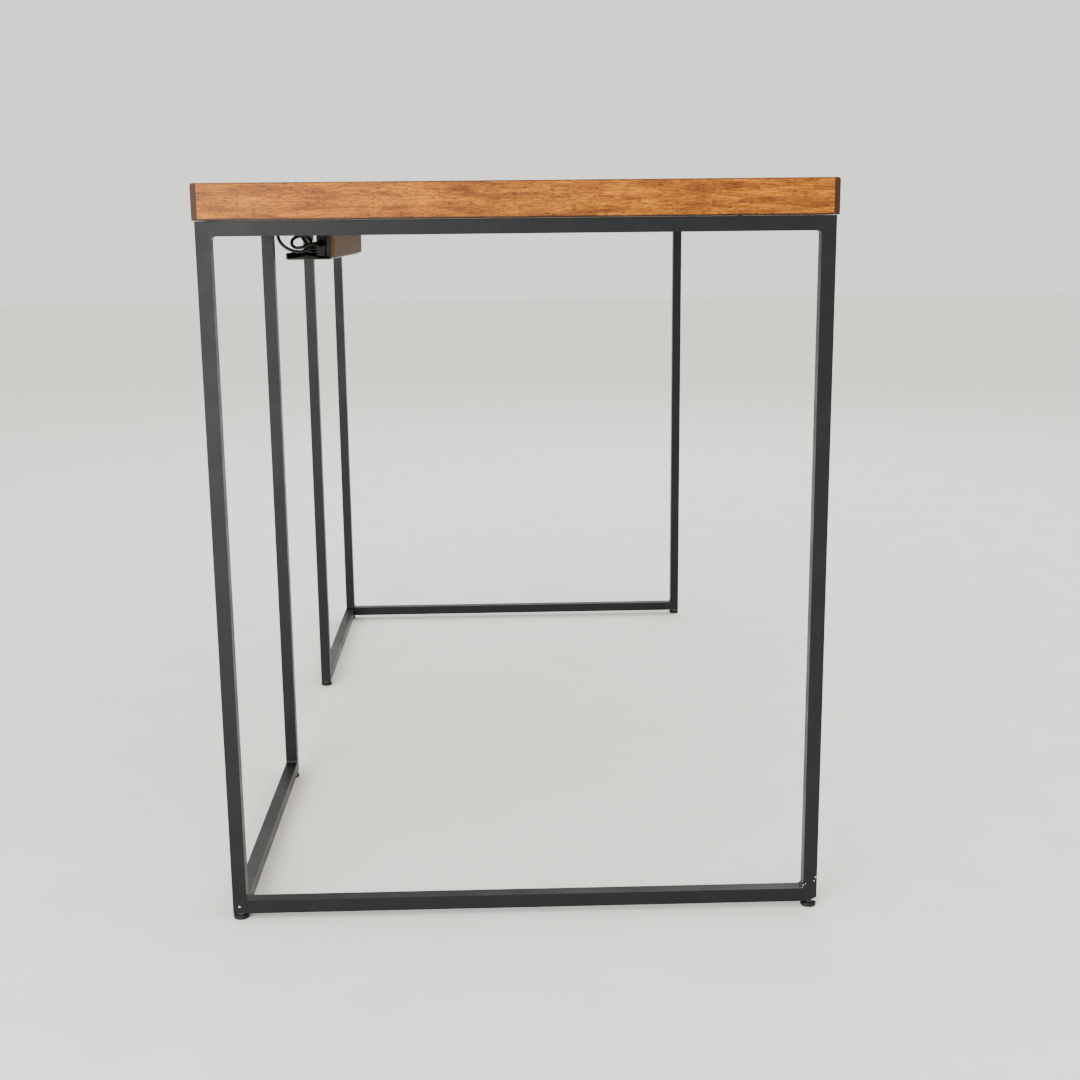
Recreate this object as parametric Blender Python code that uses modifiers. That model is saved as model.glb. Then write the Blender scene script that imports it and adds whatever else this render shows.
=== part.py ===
"""Work desk: a lipped wooden top on two welded square-tube side frames, with a cable tray behind.

Each side frame is an end rectangle with a short return along the rear, and stands on three
screw-in glides. The tray under the rear of the top holds a power strip, whose cord is clipped
under the top and wound into a hank in the tray, with its plug beside it.

The origin is on the floor under the centre of the desk. +X is the user's right, +Y the rear,
+Z up. Lengths are in metres.
"""

import bmesh
import bpy
from math import cos, radians, sin, sqrt
from mathutils import Matrix, Vector

MM = 0.001
GAP = 0.3 * MM  # left between two pieces that touch

# Top
TOP_LENGTH = 1200 * MM
TOP_DEPTH = 600 * MM
TOP_THICKNESS = 34 * MM
VENEER = 1.0 * MM
LIPPING = 5 * MM
LIPPING_ROUND = 2.5 * MM  # radius of the long upper edges
LIPPING_EASE = 1.0 * MM  # radius of the long lower edges
OVERHANG = 2 * MM  # of the top past the frame, all round

# Side frames
FRAME_HEIGHT = 688.7 * MM
TUBE = 14 * MM
TUBE_WALL = 1.2 * MM
TUBE_CORNER = 1.5 * MM
RETURN_LENGTH = 410 * MM  # from the outer face of a rear leg to that of its return leg

# Screws that hold the top, up through the rails
TOP_SCREW_RADIUS = 2.4 * MM
TOP_SCREW_LENGTH = 24 * MM  # under its head
TOP_SCREW_HEAD = 4.6 * MM
TOP_SCREW_HEAD_HEIGHT = 2.8 * MM
TOP_SCREW_ACCESS = 0.5 * MM  # round the head, in the hole that lets it into a rail
TOP_SCREW_MARGIN = 90 * MM  # from a frame corner to the nearest screw

# Glides
FOOT_HEIGHT = 7 * MM  # floor to the bottom of the legs
PAD_RADIUS = 8 * MM
PAD_HEIGHT = 4.8 * MM
PAD_ROUND = 1.6 * MM
STEM_RADIUS = 3 * MM
STEM_LENGTH = 30 * MM  # above the collar
COLLAR_ACROSS_CORNERS = 11.5 * MM
PIVOT_RADIUS = 2.6 * MM
PIVOT_DEPTH = 2.4 * MM  # of the stem's foot in the pad
END_PLATE = 5 * MM  # thickness of the tapped plate welded into a leg's lower end
END_PLATE_DEPTH = 1 * MM  # from the end of the leg to that plate

# Cable tray
TRAY_LENGTH = 370 * MM
TRAY_SETBACK = 80 * MM  # outer face of the tray's front plate, from the frame's rear face
TRAY_WIDTH = 54 * MM
TRAY_DROP = 45 * MM
TRAY_SHEET = 1.6 * MM
TRAY_LIP = 8 * MM
TRAY_FLANGE = 20 * MM
TRAY_BEND = 2.4 * MM
TRAY_SCREW_INSET = 35 * MM  # from an end of the tray to its nearest screw
TRAY_BOARD = 4 * MM  # thin board stuck to the front of the tray
TRAY_BOARD_RISE = 2.5 * MM  # its lower edge, above the underside of the tray
TRAY_BOARD_ROUND = 0.4 * MM
WOOD_SCREW_RADIUS = 1.8 * MM
WOOD_SCREW_LENGTH = 13 * MM
WOOD_SCREW_HEAD = 3.8 * MM
WOOD_SCREW_HEAD_HEIGHT = 2.2 * MM

# Power strip, standing on its edge against the tray's front plate
STRIP_LENGTH = 105 * MM
STRIP_START = -145 * MM  # its left end, from the tray's centre
STRIP_HEIGHT = 34 * MM
STRIP_BASE_DEPTH = 8 * MM
STRIP_COVER_DEPTH = 11.7 * MM
STRIP_WALL = 2 * MM
STRIP_ROUND = 1.0 * MM
OUTLETS = 3
OUTLET_INSET = 24 * MM  # from an end of the strip to the nearest outlet's centre
SLOT_SPACING = 12.7 * MM
SLOT_LENGTH = 7.2 * MM
SLOT_WIDTH = 2.2 * MM
BAR_LENGTH = 80 * MM
BAR_DEPTH = 8 * MM
BAR_HEIGHT = 3.8 * MM
BAR_SHEET = 0.8 * MM
BOSS_RADIUS = 3 * MM
CASE_SCREW_RADIUS = 1.2 * MM
CASE_SCREW_HEAD = 2.6 * MM
CASE_SCREW_HEAD_HEIGHT = 1.5 * MM
CASE_SCREW_INSET = 9 * MM  # from an end of the strip to its case screw

# Cord
CORD_RADIUS = 2.0 * MM
GRIP_LENGTH = 22 * MM
GRIP_ROOT_RADIUS = 4.4 * MM
GRIP_TIP_RADIUS = 2.7 * MM
GRIP_NECK_RADIUS = 2.9 * MM
CLIP_WIDTH = 9 * MM
CLIP_HOOK = 1.3 * MM  # thickness of a clip's hook
CLIP_LEVEL = 4.1 * MM  # from the underside of the top to the middle of a clipped cord
CLIP_PAD_DEPTH = 15 * MM
HANK_LAYERS = 3  # of turns, one on another
HANK_ROWS = 2  # of turns side by side in a layer
HANK_RUN = 60 * MM  # between the centres of its two folds
HANK_FOLD_RADIUS = 12 * MM  # of the inner row
HANK_PITCH = 4.1 * MM
HANK_CENTRE = 22.4 * MM  # from the tray's centre
HANK_INSET = 48.5 * MM  # from the frame's rear face to the hank's centre line
HANK_SLACK = 0.2 * MM
TIE_WIDTH = 3.6 * MM
TIE_THICKNESS = 1.2 * MM
TIE_HEAD = 6 * MM
PLUG_LENGTH = 28 * MM
PLUG_WIDTH = 22 * MM
PLUG_HEIGHT = 18 * MM
PLUG_ROUND = 3 * MM
PLUG_TAIL = 14 * MM
PLUG_TAIL_ROOT = 4.6 * MM
PLUG_END = 146 * MM  # the plug's front face, from the tray's centre
PLUG_INSET = 44 * MM  # from the frame's rear face to the plug's centre line
BLADE_LENGTH = 17 * MM
BLADE_WIDTH = 6.3 * MM
BLADE_THICKNESS = 1.5 * MM
BLADE_ROOT = 5 * MM  # length held in the plug

# Points that the cord passes, in mm: along X from the tray's centre, in from the frame's rear face,
# and down from the underside of the top.
LEAD_ROUTE = [
    (-167.3, 64.0, 26.1), (-173, 64.1, 26.1), (-180, 63.6, 26.0), (-187, 61.4, 26.0),
    (-193, 57.6, 26.6), (-197, 52.5, 28.2), (-198.5, 46.5, 30.2), (-197.5, 40.5, 30.6),
    (-194, 35.8, 28.0), (-189, 34.2, 23.6), (-184, 36.5, 19.6), (-180.5, 41.5, 17.4),
    (-179, 47.5, 17.2), (-179.5, 53.0, 19.3), (-182, 56.2, 23.5), (-186, 55.8, 28.4),
    (-189.5, 52.2, 32.4), (-192, 47.0, 34.8), (-193.5, 41.0, 35.2), (-194.5, 35.0, 33.8),
    (-195, 29.5, 31.2), (-195, 24.8, 27.6), (-194, 21.0, 23.0), (-192, 18.8, 17.8),
    (-188, 18.0, 12.8), (-181.5, 17.8, 8.8), (-173, 17.9, 6.0), (-163, 18.0, 4.5),
    (-150, 18.0, 4.1), (-137, 18.0, 4.4), (-122, 18.0, 5.6), (-105, 18.0, 6.2),
    (-88, 18.0, 5.6), (-73, 18.0, 4.3), (-60, 18.0, 4.1), (-53, 18.1, 4.3),
    (-44.5, 19.8, 7.0), (-38.5, 22.2, 11.0), (-34.2, 25.0, 16.0), (-31, 27.8, 21.4),
    (-27.4, 30.4, 26.2), (-22.8, 32.0, 30.0), (-19.9, 32.4, 31.1),
]
CLIP_PLACES = {"cord_clip_left": (-150, 18.0), "cord_clip_right": (-60, 18.0)}  # on that route

# Worked out from the sizes above
FRAME_LENGTH = TOP_LENGTH - 2 * OVERHANG
FRAME_DEPTH = TOP_DEPTH - 2 * OVERHANG
FRAME_TOP = FOOT_HEIGHT + FRAME_HEIGHT
UNDERSIDE = FRAME_TOP + GAP
REAR_FACE = FRAME_DEPTH / 2
TRAY_FLOOR = UNDERSIDE - TRAY_DROP + TRAY_SHEET
TRAY_FRONT = REAR_FACE - TRAY_SETBACK
STRIP_BACK = TRAY_FRONT + TRAY_SHEET + GAP
STRIP_MIDDLE = TRAY_FLOOR + GAP + STRIP_HEIGHT / 2
STRIP_FACE = STRIP_BACK + STRIP_BASE_DEPTH + GAP + STRIP_COVER_DEPTH
HANK_OUTER_ROW = HANK_FOLD_RADIUS + (HANK_ROWS - 1) * HANK_PITCH
HANK_HALF_WIDTH = HANK_OUTER_ROW + CORD_RADIUS + HANK_SLACK
HANK_HEIGHT = (HANK_LAYERS - 1) * HANK_PITCH + 2 * (CORD_RADIUS + HANK_SLACK)
HANK_BOTTOM = TRAY_FLOOR + TIE_THICKNESS + 2 * GAP
SIDES = {"left": -1, "right": 1}

DESK = bpy.data.collections.new("desk")
CUTTERS = bpy.data.collections.new("cutters")


# ---------------------------------------------------------------- materials


def material(name, colour, roughness, metallic=0.0):
    made = bpy.data.materials.new(name)
    made.use_nodes = True
    shader = made.node_tree.nodes["Principled BSDF"]
    shader.inputs["Base Color"].default_value = (*colour, 1.0)
    shader.inputs["Roughness"].default_value = roughness
    shader.inputs["Metallic"].default_value = metallic
    made.diffuse_color = (*colour, 1.0)
    return made


WOOD = material("stained_wood", (0.42, 0.19, 0.04), 0.45)
BOARD = material("core_board", (0.45, 0.33, 0.20), 0.85)
COATED_STEEL = material("coated_steel", (0.075, 0.078, 0.085), 0.45, 0.3)
ZINC_STEEL = material("zinc_steel", (0.60, 0.60, 0.58), 0.35, 1.0)
BLACK_ZINC_STEEL = material("black_zinc_steel", (0.03, 0.03, 0.03), 0.4, 0.6)
BLACK_NYLON = material("black_nylon", (0.012, 0.012, 0.013), 0.5)
BLACK_VINYL = material("black_vinyl", (0.010, 0.010, 0.011), 0.45)
WHITE_NYLON = material("white_nylon", (0.75, 0.75, 0.72), 0.5)
BRASS = material("brass", (0.65, 0.45, 0.18), 0.3, 1.0)


# ---------------------------------------------------------------- modelling helpers


def add_object(name, data, finish, location=(0, 0, 0), rotation=None, collection=None):
    made = bpy.data.objects.new(name, data)
    (collection or DESK).objects.link(made)
    made.location = location
    if rotation is not None:
        made.rotation_euler = rotation
    if finish is not None:
        data.materials.append(finish)
    return made


def mesh_from(name, bm):
    mesh = bpy.data.meshes.new(name)
    bm.to_mesh(mesh)
    bm.free()
    return mesh


def box_mesh(name, size, open_faces=()):
    """A box about its own centre. open_faces lists the outward directions of faces left out."""
    bm = bmesh.new()
    bmesh.ops.create_cube(bm, size=1.0)
    bmesh.ops.scale(bm, vec=size, verts=bm.verts)
    gone = [f for f in bm.faces if any(f.normal.dot(Vector(d)) > 0.9 for d in open_faces)]
    bmesh.ops.delete(bm, geom=gone, context="FACES_ONLY")
    return mesh_from(name, bm)


def add_box(name, low, high, finish, collection=None):
    low, high = Vector(low), Vector(high)
    return add_object(name, box_mesh(name, high - low), finish, (low + high) / 2, collection=collection)


def add_bevel(target, width, segments=2):
    bevel = target.modifiers.new("rounded_edges", "BEVEL")
    bevel.width = width
    bevel.segments = segments
    bevel.limit_method = "ANGLE"
    bevel.angle_limit = radians(40)
    return bevel


def add_thickness(target, thickness):
    """Gives an open surface its sheet thickness, on the inner side."""
    sheet = target.modifiers.new("sheet", "SOLIDIFY")
    sheet.thickness = thickness
    sheet.offset = -1.0
    sheet.use_even_offset = True


def direction_to_rotation(direction):
    return Vector((0, 0, 1)).rotation_difference(Vector(direction)).to_euler()


def add_square_tube(name, start, end, finish):
    """A hollow square tube with open ends, whose ends are centred on start and end."""
    start, end = Vector(start), Vector(end)
    size = (TUBE, TUBE, (end - start).length)
    mesh = box_mesh(name, size, open_faces=[(0, 0, 1), (0, 0, -1)])
    tube = add_object(name, mesh, finish, (start + end) / 2, direction_to_rotation(end - start))
    add_bevel(tube, TUBE_CORNER)
    add_thickness(tube, TUBE_WALL)
    return tube


def add_turned(name, profile, finish, location, rotation=None, sides=24, collection=None):
    """A solid of revolution about its own Z. profile runs from the top centre, down the outside."""
    mesh = bpy.data.meshes.new(name)
    points = [(radius, 0.0, height) for radius, height in profile]
    mesh.from_pydata(points, [(i, i + 1) for i in range(len(points) - 1)], [])
    turned = add_object(name, mesh, finish, location, rotation, collection)
    screw = turned.modifiers.new("turned", "SCREW")
    screw.steps = sides
    screw.render_steps = sides
    screw.use_merge_vertices = True
    screw.merge_threshold = 0.00001
    return turned


def add_rod(name, radius, low, high, finish, location, rotation=None, sides=16, collection=None):
    """A plain round bar about its own Z, from low to high."""
    profile = [(0, high), (radius, high), (radius, low), (0, low)]
    return add_turned(name, profile, finish, location, rotation, sides, collection)


def add_prism(name, radius, low, high, sides, finish, location, collection=None):
    """An upright prism with corners at radius, from low to high."""
    bm = bmesh.new()
    bmesh.ops.create_cone(
        bm, cap_ends=True, segments=sides, radius1=radius, radius2=radius, depth=high - low
    )
    bmesh.ops.translate(bm, verts=bm.verts, vec=(0, 0, (low + high) / 2))
    return add_object(name, mesh_from(name, bm), finish, location, collection=collection)


def arc(centre, radius, first, last, steps):
    """Points on a circle in a plane, from one angle to another, in degrees."""
    for i in range(steps + 1):
        angle = radians(first + (last - first) * i / steps)
        yield (centre[0] + radius * cos(angle), centre[1] + radius * sin(angle))


def add_outline(name, outline, thickness, finish, location=(0, 0, 0), rotation=None):
    """A flat closed outline in its own XY plane, extruded evenly both ways along its own Z."""
    curve = bpy.data.curves.new(name, "CURVE")
    curve.dimensions = "2D"
    curve.fill_mode = "BOTH"
    curve.extrude = thickness / 2
    spline = curve.splines.new("POLY")
    spline.points.add(len(outline) - 1)
    for point, (u, v) in zip(spline.points, outline):
        point.co = (u, v, 0, 1)
    spline.use_cyclic_u = True
    return to_mesh(add_object(name, curve, finish, location, rotation), finish)


def to_mesh(source, finish):
    """Replaces a curve object by the closed mesh that it makes, in the same place."""
    bpy.context.view_layer.update()
    graph = bpy.context.evaluated_depsgraph_get()
    mesh = bpy.data.meshes.new_from_object(source.evaluated_get(graph))
    bm = bmesh.new()
    bm.from_mesh(mesh)
    bmesh.ops.remove_doubles(bm, verts=bm.verts, dist=0.00001)
    bmesh.ops.recalc_face_normals(bm, faces=bm.faces)
    bm.to_mesh(mesh)
    bm.free()
    name, matrix = source.name, source.matrix_world.copy()
    bpy.data.objects.remove(source)
    mesh.materials.clear()
    made = add_object(name, mesh, finish)
    made.matrix_world = matrix
    return made


def boolean(target, tool, operation="DIFFERENCE"):
    cut = target.modifiers.new(operation.lower(), "BOOLEAN")
    cut.operation = operation
    cut.object = tool
    tool.hide_render = True
    tool.display_type = "WIRE"


def drill(target, radius, low, high, location, rotation=None, sides=16):
    """Cuts a round hole along its own Z, from low to high about location."""
    bit = add_rod(
        target.name + "_drill", radius, low, high, None, location, rotation, sides, CUTTERS
    )
    boolean(target, bit)


def place_copies(sample, places, finish):
    """Puts the shape of sample, with its cuts made, at each named place, and removes sample."""
    bpy.context.view_layer.update()
    graph = bpy.context.evaluated_depsgraph_get()
    mesh = bpy.data.meshes.new_from_object(sample.evaluated_get(graph))
    mesh.name = sample.name
    mesh.materials.clear()
    mesh.materials.append(finish)
    turn = sample.matrix_world.to_euler()
    bpy.data.objects.remove(sample)
    for name, location in places.items():
        add_object(name, mesh, None, location, turn)


# ---------------------------------------------------------------- places shared by several pieces


def leg_places():
    """Centre of each leg in plan, by name."""
    x = FRAME_LENGTH / 2 - TUBE / 2
    y = FRAME_DEPTH / 2 - TUBE / 2
    return_x = FRAME_LENGTH / 2 - RETURN_LENGTH + TUBE / 2
    places = {}
    for side, sign in SIDES.items():
        places["front_" + side] = (sign * x, -y)
        places["rear_" + side] = (sign * x, y)
        places["return_" + side] = (sign * return_x, y)
    return places


def top_screw_places():
    """Centre in plan of each screw that holds the top, by name."""
    x = FRAME_LENGTH / 2 - TUBE / 2
    y = FRAME_DEPTH / 2 - TUBE / 2
    from_middle = FRAME_DEPTH / 2 - TOP_SCREW_MARGIN
    return_x = FRAME_LENGTH / 2 - RETURN_LENGTH + TOP_SCREW_MARGIN
    places = {}
    for side, sign in SIDES.items():
        places["top_screw_front_" + side] = (sign * x, -from_middle)
        places["top_screw_rear_" + side] = (sign * x, from_middle)
        places["top_screw_return_" + side] = (sign * return_x, y)
    return places


def tray_screw_places():
    x = TRAY_LENGTH / 2 - TRAY_SCREW_INSET
    y = TRAY_FRONT - TRAY_FLANGE / 2
    return {"tray_screw_left": (-x, y), "tray_screw_middle": (0, y), "tray_screw_right": (x, y)}


# ---------------------------------------------------------------- top


def drill_underside(target, low, high):
    """Holes for the screws that hold the frames and the tray, between two levels."""
    margin = 2 * GAP
    reach = UNDERSIDE + TOP_SCREW_LENGTH - TUBE_WALL + margin
    for x, y in top_screw_places().values():
        drill(target, TOP_SCREW_RADIUS + GAP, low - margin, min(high + margin, reach), (x, y, 0))
    reach = UNDERSIDE + WOOD_SCREW_LENGTH
    for x, y in tray_screw_places().values():
        drill(target, WOOD_SCREW_RADIUS + GAP, low - margin, min(high + margin, reach), (x, y, 0))


def lipping_outline():
    """Section of a long lipping: y outwards from its glued face, z up from its foot."""
    upper = (LIPPING - LIPPING_ROUND, TOP_THICKNESS - LIPPING_ROUND)
    lower = (LIPPING - LIPPING_EASE, LIPPING_EASE)
    return [
        (0, 0),
        *arc(lower, LIPPING_EASE, -90, 0, 3),
        *arc(upper, LIPPING_ROUND, 0, 90, 5),
        (0, TOP_THICKNESS),
    ]


def build_top():
    x = TOP_LENGTH / 2
    inner_x = x - LIPPING - GAP
    inner_y = TOP_DEPTH / 2 - LIPPING - GAP
    top = UNDERSIDE + TOP_THICKNESS
    core_low, core_high = UNDERSIDE + VENEER + GAP, top - VENEER - GAP
    core = add_box(
        "top_core", (-inner_x, -inner_y, core_low), (inner_x, inner_y, core_high), BOARD
    )
    drill_underside(core, core_low, core_high)
    add_box("top_face_veneer", (-inner_x, -inner_y, top - VENEER), (inner_x, inner_y, top), WOOD)
    back_high = UNDERSIDE + VENEER
    back = add_box(
        "top_back_veneer", (-inner_x, -inner_y, UNDERSIDE), (inner_x, inner_y, back_high), WOOD
    )
    drill_underside(back, UNDERSIDE, back_high)
    for name, sign in (("front", -1), ("rear", 1)):
        glued_face = sign * (TOP_DEPTH / 2 - LIPPING)
        turn = Matrix(((0, 0, 1), (sign, 0, 0), (0, 1, 0))).to_euler()
        location = (0, glued_face, UNDERSIDE)
        add_outline("lipping_" + name, lipping_outline(), TOP_LENGTH, WOOD, location, turn)
    for side, sign in SIDES.items():
        ends = sorted((sign * x, sign * (x - LIPPING)))
        add_box(
            "lipping_" + side,
            (ends[0], -inner_y, UNDERSIDE),
            (ends[1], inner_y, top),
            WOOD,
        )


# ---------------------------------------------------------------- side frames


def add_leg(name, x, y):
    """A tube with a tapped plate welded in just above its lower end, for a glide's screw."""
    leg = add_square_tube(name, (x, y, FOOT_HEIGHT), (x, y, FRAME_TOP), COATED_STEEL)
    half = TUBE / 2 - TUBE_WALL / 2
    low = FOOT_HEIGHT + END_PLATE_DEPTH
    high = low + END_PLATE
    plate = add_box(
        name + "_plate", (x - half, y - half, low), (x + half, y + half, high), None, CUTTERS
    )
    boolean(leg, plate, "UNION")
    drill(leg, STEM_RADIUS + GAP, low - GAP, high + GAP, (x, y, 0))


def build_side_frame(side, sign):
    half = TUBE / 2
    low, high = FOOT_HEIGHT, FRAME_TOP
    places = leg_places()
    for leg in ("front", "rear", "return"):
        x, y = places[leg + "_" + side]
        add_leg("leg_" + leg + "_" + side, x, y)
    end_x, rear_y = places["rear_" + side]
    return_x = places["return_" + side][0]
    reach = rear_y - half - GAP
    nearer, further = sorted((end_x - sign * (half + GAP), return_x + sign * (half + GAP)))
    for level, z in (("bottom", low + half), ("top", high - half)):
        end_rail = add_square_tube(
            level + "_rail_" + side, (end_x, -reach, z), (end_x, reach, z), COATED_STEEL
        )
        return_rail = add_square_tube(
            "return_" + level + "_rail_" + side,
            (nearer, rear_y, z),
            (further, rear_y, z),
            COATED_STEEL,
        )
        if level == "top":
            for name, (x, y) in top_screw_places().items():
                if not name.endswith(side):
                    continue
                rail = return_rail if "return" in name else end_rail
                reach_up = half + GAP
                drill(rail, TOP_SCREW_RADIUS + GAP, 0, reach_up, (x, y, z))
                drill(rail, TOP_SCREW_HEAD + TOP_SCREW_ACCESS, -reach_up, 0, (x, y, z))


def build_top_screws():
    """Their heads go in through a hole in a rail's lower wall and seat on its upper wall."""
    screw = screw_sample(
        TOP_SCREW_RADIUS, TOP_SCREW_LENGTH, TOP_SCREW_HEAD, TOP_SCREW_HEAD_HEIGHT
    )
    seat = FRAME_TOP - TUBE_WALL - GAP
    places = {name: (x, y, seat) for name, (x, y) in top_screw_places().items()}
    place_copies(screw, places, BLACK_ZINC_STEEL)


# ---------------------------------------------------------------- glides


def build_glide(name, x, y):
    """A pad that stays still on the floor, and a screw that turns in it."""
    pivot = PIVOT_RADIUS + GAP
    floor_of_pivot = PAD_HEIGHT - PIVOT_DEPTH - GAP
    pad_profile = [
        (0, floor_of_pivot),
        (pivot, floor_of_pivot),
        (pivot, PAD_HEIGHT),
        (PAD_RADIUS * 0.9, PAD_HEIGHT),
        (PAD_RADIUS, PAD_HEIGHT * 0.82),
        *[
            (PAD_RADIUS - PAD_ROUND + u, PAD_ROUND + v)
            for u, v in arc((0, 0), PAD_ROUND, 0, -90, 3)
        ],
        (0, 0),
    ]
    add_turned("glide_pad_" + name, pad_profile, BLACK_NYLON, (x, y, 0), sides=24)
    collar_low = PAD_HEIGHT + GAP
    collar_high = FOOT_HEIGHT - GAP
    tip = collar_high + STEM_LENGTH
    stem_profile = [
        (0, tip),
        (STEM_RADIUS * 0.8, tip),
        (STEM_RADIUS, tip - STEM_RADIUS * 0.2),
        (STEM_RADIUS, collar_low + GAP),
        (PIVOT_RADIUS, collar_low + GAP),
        (PIVOT_RADIUS, PAD_HEIGHT - PIVOT_DEPTH),
        (0, PAD_HEIGHT - PIVOT_DEPTH),
    ]
    stem = add_turned("glide_stem_" + name, stem_profile, ZINC_STEEL, (x, y, 0), sides=16)
    corner = COLLAR_ACROSS_CORNERS / 2
    collar = add_prism(
        "collar_" + name, corner, collar_low, collar_high, 6, None, (x, y, 0), CUTTERS
    )
    boolean(stem, collar, "UNION")


# ---------------------------------------------------------------- cable tray and power strip


def build_tray():
    """One folded sheet, open at both ends: a lip, a floor, a front plate and a flange on top."""
    half_width = TRAY_WIDTH / 2
    rise = TRAY_DROP - GAP - TRAY_SHEET
    section = [
        (half_width, TRAY_LIP),
        (half_width, 0),
        (-half_width, 0),
        (-half_width, rise),
        (-half_width - TRAY_FLANGE, rise),
    ]
    bm = bmesh.new()
    corners = [bm.verts.new((-TRAY_LENGTH / 2, y, z)) for y, z in section]
    edges = [bm.edges.new(pair) for pair in zip(corners, corners[1:])]
    drawn = bmesh.ops.extrude_edge_only(bm, edges=edges)["geom"]
    far = [v for v in drawn if isinstance(v, bmesh.types.BMVert)]
    bmesh.ops.translate(bm, verts=far, vec=(TRAY_LENGTH, 0, 0))
    bm.normal_update()
    if any(f.normal.z > 0.9 for f in bm.faces):
        bmesh.ops.reverse_faces(bm, faces=bm.faces)
    middle = (0, TRAY_FRONT + half_width, UNDERSIDE - TRAY_DROP)
    tray = add_object("cable_tray", mesh_from("cable_tray", bm), COATED_STEEL, middle)
    add_bevel(tray, TRAY_BEND)
    add_thickness(tray, TRAY_SHEET)
    for x, y in tray_screw_places().values():
        drill(tray, WOOD_SCREW_RADIUS + GAP, -TRAY_SHEET - 3 * GAP, 0, (x, y, UNDERSIDE))


def build_tray_board():
    """The veneered board on the tray's front plate, which hides the sheet from the sitter."""
    front = TRAY_FRONT - GAP - TRAY_BOARD
    low = (-TRAY_LENGTH / 2, front, UNDERSIDE - TRAY_DROP + TRAY_BOARD_RISE)
    high = (TRAY_LENGTH / 2, TRAY_FRONT - GAP, UNDERSIDE - TRAY_SHEET - TRAY_BEND - 2 * GAP)
    board = add_box("tray_board", low, high, WOOD)
    add_bevel(board, TRAY_BOARD_ROUND)


def screw_sample(radius, length, head_radius, head_height):
    """A pan-head screw pointing up its own Z, with its head's seat at zero."""
    profile = [
        (0, length),
        (radius, length - radius),
        (radius, 0),
        (head_radius, 0),
        (head_radius, -head_height * 0.4),
        (head_radius * 0.7, -head_height),
        (0, -head_height),
    ]
    return add_turned("screw", profile, BLACK_ZINC_STEEL, (0, 0, 0), sides=12)


def build_tray_screws():
    screw = screw_sample(
        WOOD_SCREW_RADIUS, WOOD_SCREW_LENGTH, WOOD_SCREW_HEAD, WOOD_SCREW_HEAD_HEIGHT
    )
    seat = UNDERSIDE - TRAY_SHEET - 2 * GAP
    places = {name: (x, y, seat) for name, (x, y) in tray_screw_places().items()}
    place_copies(screw, places, BLACK_ZINC_STEEL)


def strip_middle_x():
    return STRIP_START + STRIP_LENGTH / 2


def outlet_places():
    first = STRIP_START + OUTLET_INSET
    step = (STRIP_LENGTH - 2 * OUTLET_INSET) / (OUTLETS - 1)
    return [first + i * step for i in range(OUTLETS)]


def case_screw_places():
    end = STRIP_START + STRIP_LENGTH
    return [STRIP_START + CASE_SCREW_INSET, end - CASE_SCREW_INSET]


def add_half_case(name, depth, middle_y, open_towards, finish):
    """A tray-shaped half of the strip's case, open towards one side along Y."""
    size = (STRIP_LENGTH, depth, STRIP_HEIGHT)
    mesh = box_mesh(name, size, open_faces=[(0, open_towards, 0)])
    half = add_object(name, mesh, finish, (strip_middle_x(), middle_y, STRIP_MIDDLE))
    add_bevel(half, STRIP_ROUND)
    add_thickness(half, STRIP_WALL)
    return half


def build_strip():
    towards_rear = direction_to_rotation((0, 1, 0))
    base_middle = STRIP_BACK + STRIP_BASE_DEPTH / 2
    base = add_half_case("strip_base", STRIP_BASE_DEPTH, base_middle, 1, BLACK_VINYL)
    cover_middle = STRIP_FACE - STRIP_COVER_DEPTH / 2
    cover = add_half_case("strip_cover", STRIP_COVER_DEPTH, cover_middle, -1, BLACK_VINYL)
    boss_foot = STRIP_BACK + STRIP_WALL / 2
    boss_height = STRIP_FACE - STRIP_WALL - GAP - boss_foot
    for x in case_screw_places():
        foot = (x, boss_foot, STRIP_MIDDLE)
        boss = add_rod(
            "boss", BOSS_RADIUS, 0, boss_height, None, foot, towards_rear, collection=CUTTERS
        )
        boolean(base, boss, "UNION")
        hole = CASE_SCREW_RADIUS + GAP
        drill(base, hole, STRIP_WALL, boss_height + GAP, foot, towards_rear, 12)
        drill(cover, hole, -STRIP_WALL - GAP, GAP, (x, STRIP_FACE, STRIP_MIDDLE), towards_rear, 12)
    for x in outlet_places():
        for z in (-SLOT_SPACING / 2, SLOT_SPACING / 2):
            half = Vector((SLOT_LENGTH / 2, STRIP_WALL + GAP, SLOT_WIDTH / 2))
            centre = Vector((x, STRIP_FACE, STRIP_MIDDLE + z))
            slot = add_box("slot", centre - half, centre + half, None, CUTTERS)
            boolean(cover, slot)
    grip_hole = (STRIP_START, grip_y(), STRIP_MIDDLE)
    along = direction_to_rotation((1, 0, 0))
    reach = STRIP_WALL + GAP
    drill(cover, GRIP_NECK_RADIUS + GAP, -GAP, reach, grip_hole, along, 16)


def build_strip_inside():
    """Two brass rails behind the slots, standing on the back of the case."""
    back = STRIP_BACK + STRIP_WALL + GAP
    for name, sign in (("live", 1), ("neutral", -1)):
        size = (BAR_LENGTH, BAR_DEPTH, BAR_HEIGHT)
        ends = [(1, 0, 0), (-1, 0, 0), (0, 1, 0)]
        mesh = box_mesh("strip_%s_bar" % name, size, open_faces=ends)
        height = STRIP_MIDDLE + sign * SLOT_SPACING / 2
        place = (strip_middle_x(), back + BAR_DEPTH / 2, height)
        add_thickness(add_object("strip_%s_bar" % name, mesh, BRASS, place), BAR_SHEET)


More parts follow.
